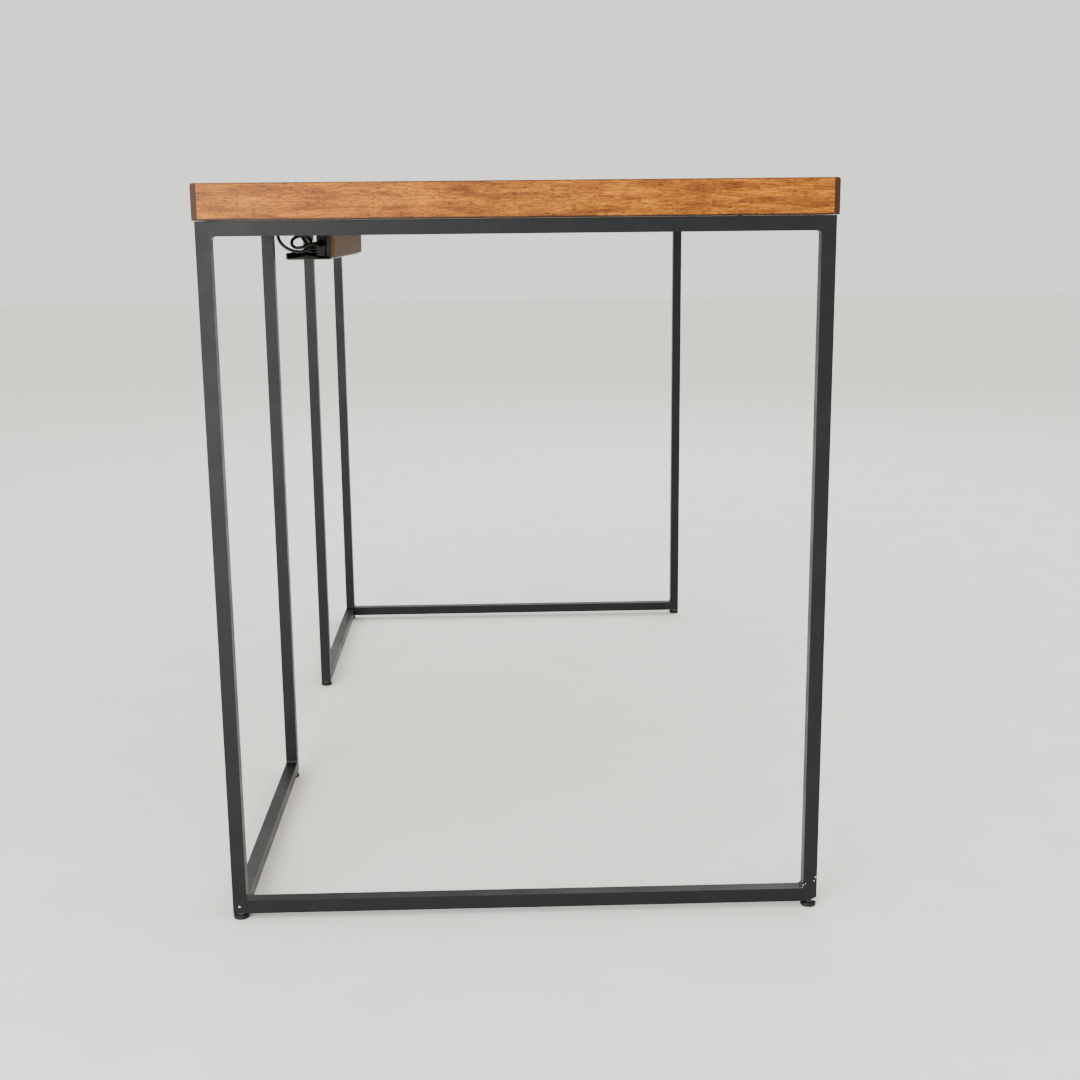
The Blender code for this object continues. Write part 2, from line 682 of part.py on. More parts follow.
def build_case_screws():
    screw = screw_sample(
        CASE_SCREW_RADIUS, STRIP_COVER_DEPTH, CASE_SCREW_HEAD, CASE_SCREW_HEAD_HEIGHT
    )
    screw.rotation_euler = direction_to_rotation((0, -1, 0))
    left, right = case_screw_places()
    places = {
        "strip_screw_left": (left, STRIP_FACE + GAP, STRIP_MIDDLE),
        "strip_screw_right": (right, STRIP_FACE + GAP, STRIP_MIDDLE),
    }
    place_copies(screw, places, BLACK_ZINC_STEEL)


# ---------------------------------------------------------------- cord


def grip_y():
    """The grip sits in the middle of the cover's end wall."""
    return STRIP_FACE - STRIP_COVER_DEPTH / 2


def build_cord_grip():
    """A moulded sleeve, held by a flange inside the case, that tapers along the cord."""
    flange = GRIP_NECK_RADIUS + 0.7 * MM
    inside = STRIP_WALL + GAP
    profile = [
        (0, GRIP_LENGTH),
        (GRIP_TIP_RADIUS, GRIP_LENGTH),
        (GRIP_ROOT_RADIUS, GAP),
        (GRIP_NECK_RADIUS, GAP),
        (GRIP_NECK_RADIUS, -inside),
        (flange, -inside),
        (flange, -inside - 1.5 * MM),
        (0, -inside - 1.5 * MM),
    ]
    place = (STRIP_START, grip_y(), STRIP_MIDDLE)
    outwards = direction_to_rotation((-1, 0, 0))
    add_turned("cord_grip", profile, BLACK_VINYL, place, outwards, sides=16)


def route_point(point):
    along, inset, down = point
    return Vector((along * MM, REAR_FACE - inset * MM, UNDERSIDE - down * MM))


def curve_through(points, per_stretch=8):
    """Points on a smooth curve that passes every given point (a centripetal Catmull-Rom)."""
    ends = [2 * points[0] - points[1], *points, 2 * points[-1] - points[-2]]
    path = [points[0]]
    for a, b, c, d in zip(ends, ends[1:], ends[2:], ends[3:]):
        t1 = sqrt((b - a).length)
        t2 = t1 + sqrt((c - b).length)
        t3 = t2 + sqrt((d - c).length)
        for i in range(1, per_stretch + 1):
            t = t1 + (t2 - t1) * i / per_stretch
            ab = a.lerp(b, t / t1)
            bc = b.lerp(c, (t - t1) / (t2 - t1))
            cd = c.lerp(d, (t - t2) / (t3 - t2))
            abc = ab.lerp(bc, t / t2)
            bcd = bc.lerp(cd, (t - t1) / (t3 - t1))
            path.append(abc.lerp(bcd, (t - t1) / (t2 - t1)))
    return path


def evenly_spaced(path, spacing):
    """Points along a path at about the given spacing, with both of its ends."""
    lengths = [0.0]
    for a, b in zip(path, path[1:]):
        lengths.append(lengths[-1] + (b - a).length)
    count = max(2, round(lengths[-1] / spacing))
    spaced, i = [], 0
    for k in range(count + 1):
        at = lengths[-1] * k / count
        while i < len(path) - 2 and lengths[i + 1] < at:
            i += 1
        share = (at - lengths[i]) / (lengths[i + 1] - lengths[i])
        spaced.append(path[i].lerp(path[i + 1], min(1.0, share)))
    return spaced


def add_cord(name, points):
    curve = bpy.data.curves.new(name, "CURVE")
    curve.dimensions = "3D"
    curve.bevel_depth = CORD_RADIUS
    curve.bevel_resolution = 2
    curve.use_fill_caps = True
    spline = curve.splines.new("POLY")
    spaced = evenly_spaced(curve_through(points), 4.6 * CORD_RADIUS)
    spline.points.add(len(spaced) - 1)
    for point, place in zip(spline.points, spaced):
        point.co = (*place, 1)
    return add_object(name, curve, BLACK_VINYL)


def tail_points():
    """From the hank's lowest outer run to the plug's tail."""
    nearest = HANK_OUTER_ROW - CORD_RADIUS
    reach = sqrt(HANK_HALF_WIDTH**2 - nearest**2) + GAP
    low = HANK_BOTTOM + HANK_SLACK + CORD_RADIUS
    rear_run = REAR_FACE - HANK_INSET + HANK_OUTER_ROW
    start = Vector((HANK_CENTRE + HANK_RUN / 2 + reach, rear_run, low))
    plug_middle = TRAY_FLOOR + GAP + PLUG_HEIGHT / 2
    end_x = PLUG_END - PLUG_LENGTH - PLUG_TAIL - GAP
    end = Vector((end_x, REAR_FACE - PLUG_INSET, plug_middle))
    straight = Vector((5 * MM, 0, 0))
    return [start, start + straight, (start + end) / 2, end - straight, end]


def build_cord():
    add_cord("cord_lead", [route_point(p) for p in LEAD_ROUTE])
    add_cord("cord_tail", tail_points())
    outer, half_run = HANK_HALF_WIDTH, HANK_RUN / 2
    outline = [*arc((half_run, 0), outer, -90, 90, 10), *arc((-half_run, 0), outer, 90, 270, 10)]
    middle = (HANK_CENTRE, REAR_FACE - HANK_INSET, HANK_BOTTOM + HANK_HEIGHT / 2)
    add_outline("cord_hank", outline, HANK_HEIGHT, BLACK_VINYL, middle)


def build_hank_tie():
    """A cable tie round the middle of the hank, with its head on top near the rear."""
    inner_y = HANK_HALF_WIDTH + GAP
    inner_z = HANK_HEIGHT / 2 + GAP
    thick = TIE_THICKNESS
    middle = Vector((HANK_CENTRE, REAR_FACE - HANK_INSET, HANK_BOTTOM + HANK_HEIGHT / 2))
    size = (TIE_WIDTH, 2 * (inner_y + thick), 2 * (inner_z + thick))
    mesh = box_mesh("hank_tie", size, open_faces=[(1, 0, 0), (-1, 0, 0)])
    tie = add_object("hank_tie", mesh, WHITE_NYLON, middle)
    add_thickness(tie, thick)
    half_head = TIE_HEAD / 2
    head_y = inner_y - half_head
    low = middle + Vector((-half_head, head_y - half_head, inner_z + thick / 2))
    high = middle + Vector((half_head, head_y + half_head, inner_z + 3.5 * thick))
    boolean(tie, add_box("tie_head", low, high, None, CUTTERS), "UNION")


def build_plug():
    middle_y, bottom = REAR_FACE - PLUG_INSET, TRAY_FLOOR + GAP
    middle_z = bottom + PLUG_HEIGHT / 2
    half_width = PLUG_WIDTH / 2
    body = add_box(
        "plug_body",
        (PLUG_END - PLUG_LENGTH, middle_y - half_width, bottom),
        (PLUG_END, middle_y + half_width, bottom + PLUG_HEIGHT),
        BLACK_VINYL,
    )
    add_bevel(body, PLUG_ROUND, 3)
    tail_start = PLUG_LENGTH - PLUG_ROUND
    tail_profile = [
        (0, PLUG_LENGTH + PLUG_TAIL),
        (CORD_RADIUS + 0.7 * MM, PLUG_LENGTH + PLUG_TAIL),
        (PLUG_TAIL_ROOT, tail_start),
        (0, tail_start),
    ]
    along = direction_to_rotation((-1, 0, 0))
    place = (PLUG_END, middle_y, middle_z)
    tail = add_turned("plug_tail", tail_profile, None, place, along, 16, CUTTERS)
    boolean(body, tail, "UNION")
    reach = Vector((BLADE_LENGTH, BLADE_THICKNESS / 2, BLADE_WIDTH / 2))
    slack = Vector((GAP, GAP, GAP))
    blades = {}
    for name, sign in (("plug_blade_front", -1), ("plug_blade_rear", 1)):
        side = middle_y + sign * SLOT_SPACING / 2
        low = Vector((PLUG_END - BLADE_ROOT, side - reach.y, middle_z - reach.z))
        high = Vector((PLUG_END + BLADE_LENGTH, side + reach.y, middle_z + reach.z))
        boolean(body, add_box("blade_pocket", low - slack, high + slack, None, CUTTERS))
        blades[name] = (low + high) / 2
    size = (BLADE_LENGTH + BLADE_ROOT, BLADE_THICKNESS, BLADE_WIDTH)
    blade = add_object("blade", box_mesh("blade", size), BRASS)
    place_copies(blade, blades, BRASS)


def clip_outline():
    """Section of a stuck-on cord clip about the cord's centre: u to the rear, v up."""
    inner = CORD_RADIUS + GAP
    outer = inner + CLIP_HOOK
    seat = CLIP_LEVEL - GAP
    half = CLIP_PAD_DEPTH / 2
    return [
        (-half, seat),
        (-half, inner),
        (-outer, inner),
        *arc((0, 0), outer, 180, 325, 9),
        *arc((0, 0), inner, 325, 180, 8),
        (-inner, inner),
        (half, inner),
        (half, seat),
    ]


def build_clips():
    turn = Matrix(((0, 0, 1), (1, 0, 0), (0, 1, 0))).to_euler()
    clip = add_outline("clip", clip_outline(), CLIP_WIDTH, BLACK_NYLON, (0, 0, 0), turn)
    places = {
        name: (x * MM, REAR_FACE - inset * MM, UNDERSIDE - CLIP_LEVEL)
        for name, (x, inset) in CLIP_PLACES.items()
    }
    place_copies(clip, places, BLACK_NYLON)


# ---------------------------------------------------------------- the desk


def build_desk():
    for old in list(bpy.data.objects):
        bpy.data.objects.remove(old)
    for collection in (DESK, CUTTERS):
        bpy.context.scene.collection.children.link(collection)
    build_top()
    for side, sign in SIDES.items():
        build_side_frame(side, sign)
    build_top_screws()
    for name, (x, y) in leg_places().items():
        build_glide(name, x, y)
    build_tray()
    build_tray_board()
    build_tray_screws()
    build_strip()
    build_strip_inside()
    build_case_screws()
    build_cord_grip()
    build_cord()
    build_hank_tie()
    build_plug()
    build_clips()


build_desk()
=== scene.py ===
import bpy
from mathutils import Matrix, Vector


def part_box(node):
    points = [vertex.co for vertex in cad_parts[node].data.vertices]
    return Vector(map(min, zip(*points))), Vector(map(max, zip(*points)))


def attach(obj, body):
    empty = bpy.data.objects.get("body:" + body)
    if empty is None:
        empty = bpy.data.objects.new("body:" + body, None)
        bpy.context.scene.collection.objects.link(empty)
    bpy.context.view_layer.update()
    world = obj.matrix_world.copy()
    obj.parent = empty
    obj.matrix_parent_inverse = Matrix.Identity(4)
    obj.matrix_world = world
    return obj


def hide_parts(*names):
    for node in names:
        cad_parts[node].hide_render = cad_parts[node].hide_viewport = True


bl_info = {
    "name": "Tube-frame desk with a cable tray",
    "version": (1, 0, 0),
    "blender": (4, 5, 0),
    "location": "View3D > Sidebar > Desk",
    "description": "Dresses a wooden desk on slim steel frames, with its tray, strip and cord",
    "category": "Object",
}

from math import cos, pi, radians, sin, sqrt

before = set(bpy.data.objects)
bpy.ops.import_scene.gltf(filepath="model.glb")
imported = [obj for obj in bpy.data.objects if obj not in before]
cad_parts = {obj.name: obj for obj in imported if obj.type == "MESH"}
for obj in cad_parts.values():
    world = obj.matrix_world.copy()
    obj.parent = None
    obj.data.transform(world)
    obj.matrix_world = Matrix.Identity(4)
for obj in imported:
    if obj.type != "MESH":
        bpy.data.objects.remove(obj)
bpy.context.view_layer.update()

import bmesh
import bpy
from bpy.props import FloatProperty, FloatVectorProperty, IntProperty, PointerProperty
from mathutils import Matrix, Vector

MM = 0.001

# Sockets of a Mix node that mixes colours: it has several of each name
MIX_SHARE, MIX_FIRST, MIX_SECOND, MIX_RESULT = 0, 6, 7, 2

BODY = "desk"  # the body that everything but the glides rides on
FEET = ("front_left", "rear_left", "return_left", "front_right", "rear_right", "return_right")

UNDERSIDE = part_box("top_back_veneer")[0][2]  # of the top
UPPER_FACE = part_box("top_face_veneer")[1][2]
REAR_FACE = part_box("leg_rear_left")[1][1]  # of the frames

# The cord's route, in mm, as the part has it: along X, in from the frames' rear face, and down
# from the underside of the top
LEAD_ROUTE = [
    (-167.3, 64.0, 26.1), (-173, 64.1, 26.1), (-180, 63.6, 26.0), (-187, 61.4, 26.0),
    (-193, 57.6, 26.6), (-197, 52.5, 28.2), (-198.5, 46.5, 30.2), (-197.5, 40.5, 30.6),
    (-194, 35.8, 28.0), (-189, 34.2, 23.6), (-184, 36.5, 19.6), (-180.5, 41.5, 17.4),
    (-179, 47.5, 17.2), (-179.5, 53.0, 19.3), (-182, 56.2, 23.5), (-186, 55.8, 28.4),
    (-189.5, 52.2, 32.4), (-192, 47.0, 34.8), (-193.5, 41.0, 35.2), (-194.5, 35.0, 33.8),
    (-195, 29.5, 31.2), (-195, 24.8, 27.6), (-194, 21.0, 23.0), (-192, 18.8, 17.8),
    (-188, 18.0, 12.8), (-181.5, 17.8, 8.8), (-173, 17.9, 6.0), (-163, 18.0, 4.5),
    (-150, 18.0, 4.1), (-137, 18.0, 4.4), (-122, 18.0, 5.6), (-105, 18.0, 6.2),
    (-88, 18.0, 5.6), (-73, 18.0, 4.3), (-60, 18.0, 4.1), (-53, 18.1, 4.3),
    (-44.5, 19.8, 7.0), (-38.5, 22.2, 11.0), (-34.2, 25.0, 16.0), (-31, 27.8, 21.4),
    (-27.4, 30.4, 26.2), (-22.8, 32.0, 30.0), (-19.9, 32.4, 31.1),
]

# Where the coating is chipped: a place on the frame, and the chip's radius
CHIPS = (
    ((-0.598, 0.2915, 0.0145), 1.05 * MM),
    ((-0.598, -0.2840, 0.0245), 0.9 * MM),
    ((-0.5980, -0.2825, 0.0220), 0.6 * MM),
    ((-0.598, -0.2862, 0.0262), 0.5 * MM),
    ((-0.5975, -0.2970, 0.0090), 1.9 * MM),
    ((-0.598, -0.2940, 0.0085), 0.9 * MM),
    ((-0.598, -0.2965, 0.0330), 0.8 * MM),
    ((-0.598, -0.2950, 0.0290), 0.6 * MM),
    ((0.5975, 0.2975, 0.0120), 1.5 * MM),
    ((0.598, -0.2890, 0.0095), 1.2 * MM),
    ((-0.1900, 0.2980, 0.0100), 1.1 * MM),
)

# The hank and the cord's way out of it to the plug
HANK_MIDDLE = Vector((0.0224, 0.2495, 0.6607))
HANK_HALF_RUN = 30 * MM  # half the distance between the centres of its folds
HANK_INNER = 12 * MM  # radius of the inner row's fold
HANK_PITCH = 4.1 * MM  # between rows, and between layers
TAIL_START = Vector((0.0584, 0.2656, 0.6566))
TAIL_END = Vector((0.1035, 0.2540, 0.6619))

# Sizes that the part gives the frames and screws
WELD_OVERLAP = 1 * MM  # of a rail into a leg, so that the two join
LEG_WALL = 1.4 * MM  # left round the sunk lower end of a leg
LEG_BORE = 3.35 * MM  # radius of the hole for a glide's stem
LEG_BORE_DEPTH = 48 * MM
TOP_SCREW_HEAD_HEIGHT = 2.8 * MM
TOP_SCREW_ACCESS = 0.5 * MM  # round a head, in the hole that lets it into a rail


def linear(code):
    """An sRGB hex colour as linear RGBA."""
    channels = (int(code[i : i + 2], 16) / 255 for i in (0, 2, 4))
    return (*(c / 12.92 if c <= 0.04045 else ((c + 0.055) / 1.055) ** 2.4 for c in channels), 1.0)


# ---------------------------------------------------------------- sizes and colours to change


def colour(name, description, code):
    return FloatVectorProperty(
        name=name,
        description=description,
        subtype="COLOR",
        size=4,
        min=0,
        max=1,
        default=linear(code),
    )


def length(name, description, default):
    return FloatProperty(name=name, description=description, unit="LENGTH", min=0, default=default)


class DeskColours(bpy.types.PropertyGroup):
    """Colours of the desk's finishes"""

    wood: colour("Wood", "Stained wood between its grain lines", "C47300")
    wood_dark: colour("Wood grain", "Darker grain lines of the stained wood", "7E4000")
    end_grain: colour("End grain", "Ends of the long edge strips, which take more stain", "381803")
    board: colour("Tray board", "Thin veneered board on the front of the tray", "6A4C2C")
    steel: colour("Frame coating", "Powder coating on the tube frame", "111315")
    bare_steel: colour("Bare steel", "Steel where the coating has chipped off", "B9B6AE")
    plastic: colour("Black plastic", "Feet, strip, plug and clips", "060607")
    tie: colour("Cable tie", "Natural nylon of the tie round the hank", "D9D8CF")
    floor: colour("Floor", "Plain studio floor", "F8F6F0")


class DeskSizes(bpy.types.PropertyGroup):
    """Sizes of the details that are made here"""

    cord_diameter: length("Cord diameter", "Diameter of the strip's cord", 4 * MM)
    grip_ribs: IntProperty(name="Grip ribs", description="Ribs on the cord grip", min=2, max=9, default=6)
    outlet_rim: length("Outlet rim", "From an outlet's slots to its panel's side", 6.867 * MM)
    screw_recess: length("Screw recess", "Depth of a cross in a head 8 mm wide", 1.3 * MM)
    weld_fillet: length("Weld fillet", "Radius in the frames' inner corners", 3 * MM)
    pad_ring: length("Pad ring", "Depth of the ring turned in each foot pad", 0.35 * MM)


# ---------------------------------------------------------------- shaders


def add_node(material, kind, settings=None, links=None):
    """One node, with its settings and the links into its sockets.

    A setting is a property, a socket, or the stops of a colour ramp as (position, colour) pairs.
    """
    node = material.node_tree.nodes.new(kind)
    for name, value in (settings or {}).items():
        if name == "stops":
            elements = node.color_ramp.elements
            for element, (position, shade) in zip(elements, (value[0], value[-1])):
                element.position, element.color = position, shade
            for position, shade in value[1:-1]:
                elements.new(position).color = shade
        elif isinstance(name, str) and hasattr(node, name):
            setattr(node, name, value)
        else:
            node.inputs[name].default_value = value
    for name, (source, output) in (links or {}).items():
        material.node_tree.links.new(source.outputs[output], node.inputs[name])
    return node


def new_material(name):
    """A material with no nodes yet."""
    material = bpy.data.materials.new(name)
    material.use_nodes = True
    material.node_tree.nodes.clear()
    return material


def close_material(material, settings, links):
    """The shader and the output that end a material."""
    shader = add_node(material, "ShaderNodeBsdfPrincipled", settings, links)
    add_node(material, "ShaderNodeOutputMaterial", None, {"Surface": (shader, "BSDF")})


def noise(material, size, detail, roughness=0.5, distortion=0.0):
    """Noise on the object's own coordinates, with specks of a size for each axis, in metres."""
    here = add_node(material, "ShaderNodeTexCoord")
    scale = [1 / length for length in size]
    place = add_node(
        material, "ShaderNodeMapping", {"Scale": scale}, {"Vector": (here, "Object")}
    )
    return add_node(
        material,
        "ShaderNodeTexNoise",
        {"Scale": 1.0, "Detail": detail, "Roughness": roughness, "Distortion": distortion},
        {"Vector": (place, "Vector")},
    )


def grey(value):
    return (value, value, value, 1.0)


def shaded(colour, factor):
    """A colour made lighter or darker."""
    return (*(min(1.0, channel * factor) for channel in colour[:3]), 1.0)


def stained_wood(name, along, light, dark, end_colour=None, gloss=0.42, edges=False):
    """Open-pored hardwood, stained orange-brown and lacquered: lines of darker pores that run with
    the grain, slow bands of tone, and a satin film with the pores just showing through it.

    Growth bands are about 8 mm apart, streaks 1.4 mm, and pores are 0.3 mm wide and 3 to 8 mm
    long; the pores are drawn 0.8 mm wide, because finer ones don't show.
    """
    material = new_material(name)

    def grain(across, lengthwise, *look):
        size = [across * MM] * 3
        size[along] = lengthwise * MM
        return noise(material, size, *look)

    bands = grain(8, 70, 4.0, 0.55, 0.6)
    streaks = grain(1.4, 16, 6.0, 0.7)
    pores = grain(0.8, 5, 2.0, 0.5)
    tone = add_node(
        material,
        "ShaderNodeValToRGB",
        {"stops": [(0.34, grey(0.0)), (0.66, grey(1.0))]},
        {"Fac": (bands, "Fac")},
    )
    base = add_node(
        material,
        "ShaderNodeMix",
        {"data_type": "RGBA", MIX_FIRST: dark, MIX_SECOND: light},
        {MIX_SHARE: (tone, "Color")},
    )
    for source, stops, strength in (
        (streaks, [(0.36, grey(0.40)), (0.60, grey(1.0))], 1.0),
        (pores, [(0.50, grey(1.0)), (0.64, grey(0.26))], 0.8),
    ):
        lines = add_node(
            material, "ShaderNodeValToRGB", {"stops": stops}, {"Fac": (source, "Fac")}
        )
        base = multiplied(material, base, lines, strength)
    if end_colour:
        base = end_grain_over(material, base, along, end_colour)
    # Painted shade along the strip's upper and lower edges
    if edges:
        base = painted_edge_shade(material, base)
    rough = add_node(
        material,
        "ShaderNodeMapRange",
        {"From Min": 0.3, "From Max": 0.7, "To Min": gloss - 0.05, "To Max": gloss + 0.10},
        {"Value": (streaks, "Fac")},
    )
    relief = add_node(
        material,
        "ShaderNodeBump",
        {"Strength": 0.35, "Distance": 0.12 * MM},
        {"Height": (lines, "Color")},
    )
    close_material(
        material,
        {"IOR": 1.33},
        {
            "Base Color": (base, MIX_RESULT),
            "Roughness": (rough, "Result"),
            "Normal": (relief, "Normal"),
        },
    )


def multiplied(material, base, pattern, strength):
    """A mixed colour darkened by a colour ramp."""
    return add_node(
        material,
        "ShaderNodeMix",
        {"data_type": "RGBA", "blend_type": "MULTIPLY", MIX_SHARE: strength},
        {MIX_FIRST: (base, MIX_RESULT), MIX_SECOND: (pattern, "Color")},
    )


def painted_edge_shade(material, base):
    """Painted shade in the last millimetre or two at the top's long edges: a painted shadow along the
    lower edge, and a thin painted shade line just under the upper edge.
    """
    here = add_node(material, "ShaderNodeTexCoord")
    level = add_node(material, "ShaderNodeSeparateXYZ", None, {"Vector": (here, "Object")})
    height = add_node(
        material,
        "ShaderNodeMapRange",
        {"From Min": UNDERSIDE, "From Max": UPPER_FACE},
        {"Value": (level, "Z")},
    )
    thickness = UPPER_FACE - UNDERSIDE
    # Painted shadow along the lower edge, then a thin painted shade line just under the upper edge
    stops = [
        (1.0 * MM / thickness, grey(0.05)),
        (2.2 * MM / thickness, grey(1.0)),
        (1 - 1.3 * MM / thickness, grey(1.0)),
        (1 - 0.3 * MM / thickness, grey(0.25)),
        (1 - 0.1 * MM / thickness, grey(0.25)),
        (1.0, grey(1.0)),
    ]
    share = add_node(
        material, "ShaderNodeValToRGB", {"stops": stops}, {"Fac": (height, "Result")}
    )
    return multiplied(material, base, share, 1.0)


def end_grain_over(material, base, along, end_colour):
    """Dark, speckled end grain wherever the surface faces along the grain.

    The wood's vessels are about 0.5 mm apart, and are drawn 0.9 mm apart so that they show.
    """
    facing = add_node(material, "ShaderNodeTexCoord")
    parts = add_node(material, "ShaderNodeSeparateXYZ", None, {"Vector": (facing, "Normal")})
    size = add_node(material, "ShaderNodeMath", {"operation": "ABSOLUTE"}, {0: (parts, along)})
    share = add_node(
        material,
        "ShaderNodeMapRange",
        {"From Min": 0.45, "From Max": 0.75},
        {"Value": (size, 0)},
    )
    vessels = noise(material, [0.9 * MM] * 3, 3.0)
    dark = add_node(
        material,
        "ShaderNodeValToRGB",
        {"stops": [(0.35, shaded(end_colour, 0.6)), (0.65, end_colour)]},
        {"Fac": (vessels, "Fac")},
    )
    return add_node(
        material,
        "ShaderNodeMix",
        {"data_type": "RGBA"},
        {
            MIX_SHARE: (share, "Result"),
            MIX_FIRST: (base, MIX_RESULT),
            MIX_SECOND: (dark, "Color"),
        },
    )


def powder_coating(steel, bare_steel):
    """Polyester powder coating, sprayed and baked on welded steel tube: a satin dark grey skin
    with a fine orange peel, cloudy wear, and small chips to bare steel low on the legs.

    The peel's bumps are 1.2 mm apart; chips are 1 to 4 mm across, where the frame meets the floor.
    """
    material = new_material("powder_coated_steel")
    cloud = noise(material, [40 * MM] * 3, 5.0, 0.6)
    peel = noise(material, [1.2 * MM] * 3, 2.0)
    base = add_node(
        material,
        "ShaderNodeValToRGB",
        {"stops": [(0.32, shaded(steel, 0.84)), (0.55, steel), (0.74, shaded(steel, 1.28))]},
        {"Fac": (cloud, "Fac")},
    )
    shade = add_node(
        material,
        "ShaderNodeMix",
        {"data_type": "RGBA", MIX_SECOND: bare_steel},
        {MIX_SHARE: (chipped(material), 0), MIX_FIRST: (base, "Color")},
    )
    rough = add_node(
        material,
        "ShaderNodeMapRange",
        {"From Min": 0.3, "From Max": 0.7, "To Min": 0.34, "To Max": 0.50},
        {"Value": (cloud, "Fac")},
    )
    relief = add_node(
        material,
        "ShaderNodeBump",
        {"Strength": 0.18, "Distance": 0.08 * MM},
        {"Height": (peel, "Fac")},
    )
    close_material(
        material,
        {"IOR": 1.29},
        {
            "Base Color": (shade, MIX_RESULT),
            "Roughness": (rough, "Result"),
            "Normal": (relief, "Normal"),
        },
    )


def chipped(material):
    """1 inside a chip in the coating and 0 outside, with an outline ragged by up to 0.8 mm."""
    ragged = noise(material, [1.3 * MM] * 3, 3.0)
    edge = add_node(
        material,
        "ShaderNodeMath",
        {"operation": "MULTIPLY_ADD", 1: 1.6 * MM, 2: -0.8 * MM},
        {0: (ragged, "Fac")},
    )
    here = add_node(material, "ShaderNodeTexCoord")
    bare = None
    for place, radius in CHIPS:
        away = add_node(
            material,
            "ShaderNodeVectorMath",
            {"operation": "DISTANCE", 1: place},
            {0: (here, "Object")},
        )
        reach = add_node(
            material, "ShaderNodeMath", {"operation": "ADD"}, {0: (away, "Value"), 1: (edge, 0)}
        )
        chip = add_node(
            material, "ShaderNodeMath", {"operation": "LESS_THAN", 1: radius}, {0: (reach, 0)}
        )
        if bare:
            chip = add_node(
                material, "ShaderNodeMath", {"operation": "MAXIMUM"}, {0: (chip, 0), 1: (bare, 0)}
            )
        bare = chip
    return bare


def grained(name, base, grain, roughness, spread=0.25, metallic=0.0, relief=0.05, ior=1.5):
    """A plain finish with a fine grain, in millimetres, in its tone, gloss and surface."""
    material = new_material(name)
    fine = noise(material, [grain * MM] * 3, 4.0, 0.6)
    slow = noise(material, [grain * 14 * MM] * 3, 2.0)
    tone = add_node(
        material,
        "ShaderNodeValToRGB",
        {"stops": [(0.3, shaded(base, 1 - spread)), (0.7, shaded(base, 1 + spread))]},
        {"Fac": (slow, "Fac")},
    )
    rough = add_node(
        material,
        "ShaderNodeMapRange",
        {"From Min": 0.3, "From Max": 0.7, "To Min": roughness * 0.85, "To Max": roughness * 1.2},
        {"Value": (fine, "Fac")},
    )
    bump = add_node(
        material,
        "ShaderNodeBump",
        {"Strength": 0.4, "Distance": relief * MM},
        {"Height": (fine, "Fac")},
    )
    close_material(
        material,
        {"Metallic": metallic, "IOR": ior},
        {
            "Base Color": (tone, "Color"),
            "Roughness": (rough, "Result"),
            "Normal": (bump, "Normal"),
        },
    )
    return material


def chipboard():
    """Pressed chips, hidden inside the top: pale flakes a few millimetres across."""
    material = new_material("chipboard_core")
    here = add_node(material, "ShaderNodeTexCoord")
    place = add_node(
        material,
        "ShaderNodeMapping",
        {"Scale": [1 / (2.5 * MM)] * 3},
        {"Vector": (here, "Object")},
    )
    chips = add_node(
        material, "ShaderNodeTexVoronoi", {"Scale": 1.0}, {"Vector": (place, "Vector")}
    )
    tone = add_node(
        material,
        "ShaderNodeValToRGB",
        {"stops": [(0.1, linear("8C6B43")), (0.8, linear("C3A678"))]},
        {"Fac": (chips, "Distance")},
    )
    close_material(material, {"Roughness": 0.85}, {"Base Color": (tone, "Color")})


def finishes():
    """The materials, made once and kept by name."""
    made = bpy.data.materials
    if "powder_coated_steel" in made:
        return made
    colours = bpy.context.scene.desk_colours
    wood, dark, board = tuple(colours.wood), tuple(colours.wood_dark), tuple(colours.board)
    plastic = tuple(colours.plastic)
    stained_wood("stained_veneer_long", 0, wood, dark)
    stained_wood("stained_strip_long", 0, wood, dark, tuple(colours.end_grain))
    # The short strips get painted shade along their upper and lower edges.
    stained_wood("stained_strip_short", 1, wood, dark, edges=True)
    # Backing veneer on the underside, oiled and not stained: browner and duller.
    stained_wood("stained_backing_veneer", 0, linear("8F6134"), linear("6E4521"), gloss=0.5)
    # Thin walnut-veneered board: grey-brown, with an open, dull surface.
    stained_wood("walnut_board", 0, board, shaded(board, 0.72), gloss=0.62)
    chipboard()
    powder_coating(tuple(colours.steel), tuple(colours.bare_steel))
    # Folded sheet with the same coating in black: satin, a little smoother than the tube.
    grained("black_coated_sheet", linear("060607"), 1.0, 0.40, relief=0.05, ior=1.33)
    # Moulded nylon: dull black with a faint spark texture.
    grained("moulded_nylon", plastic, 0.7, 0.48, relief=0.06, ior=1.38)
    # Injection-moulded ABS of the strip and plug: fine even grain, soft sheen.
    grained("moulded_abs", linear("050506"), 0.6, 0.38, relief=0.04, ior=1.38)
    # Soft extruded vinyl of the cord: smooth, with a broad soft highlight.
    grained("extruded_vinyl", linear("050505"), 2.0, 0.42, relief=0.04, ior=1.38)
    # Zinc-plated steel, its grey darkened as painted shade for the shade under the legs: grey with a
    # slightly yellow, mottled bloom.
    grained("zinc_plate", linear("6A6962"), 1.5, 0.42, 0.12, 1.0, 0.02)
    # Black-passivated zinc on screws: dark, with a dull metal sheen.
    grained("black_zinc_plate", linear("2A2A2B"), 0.8, 0.40, 0.15, 1.0, 0.02)
    # Natural nylon: milky, with a waxy gloss.
    grained("natural_nylon", tuple(colours.tie), 1.2, 0.38, 0.06, relief=0.03)
    # Rolled brass: warm yellow, drawn smooth.
    grained("rolled_brass", linear("C9A45B"), 0.9, 0.26, 0.10, 1.0, 0.02)
    return made


def dress(node, name):
    """Gives a CAD node a finish."""
    target = bpy.data.objects[node]
    target.data.materials.clear()
    target.data.materials.append(finishes()[name])


# ---------------------------------------------------------------- shapes


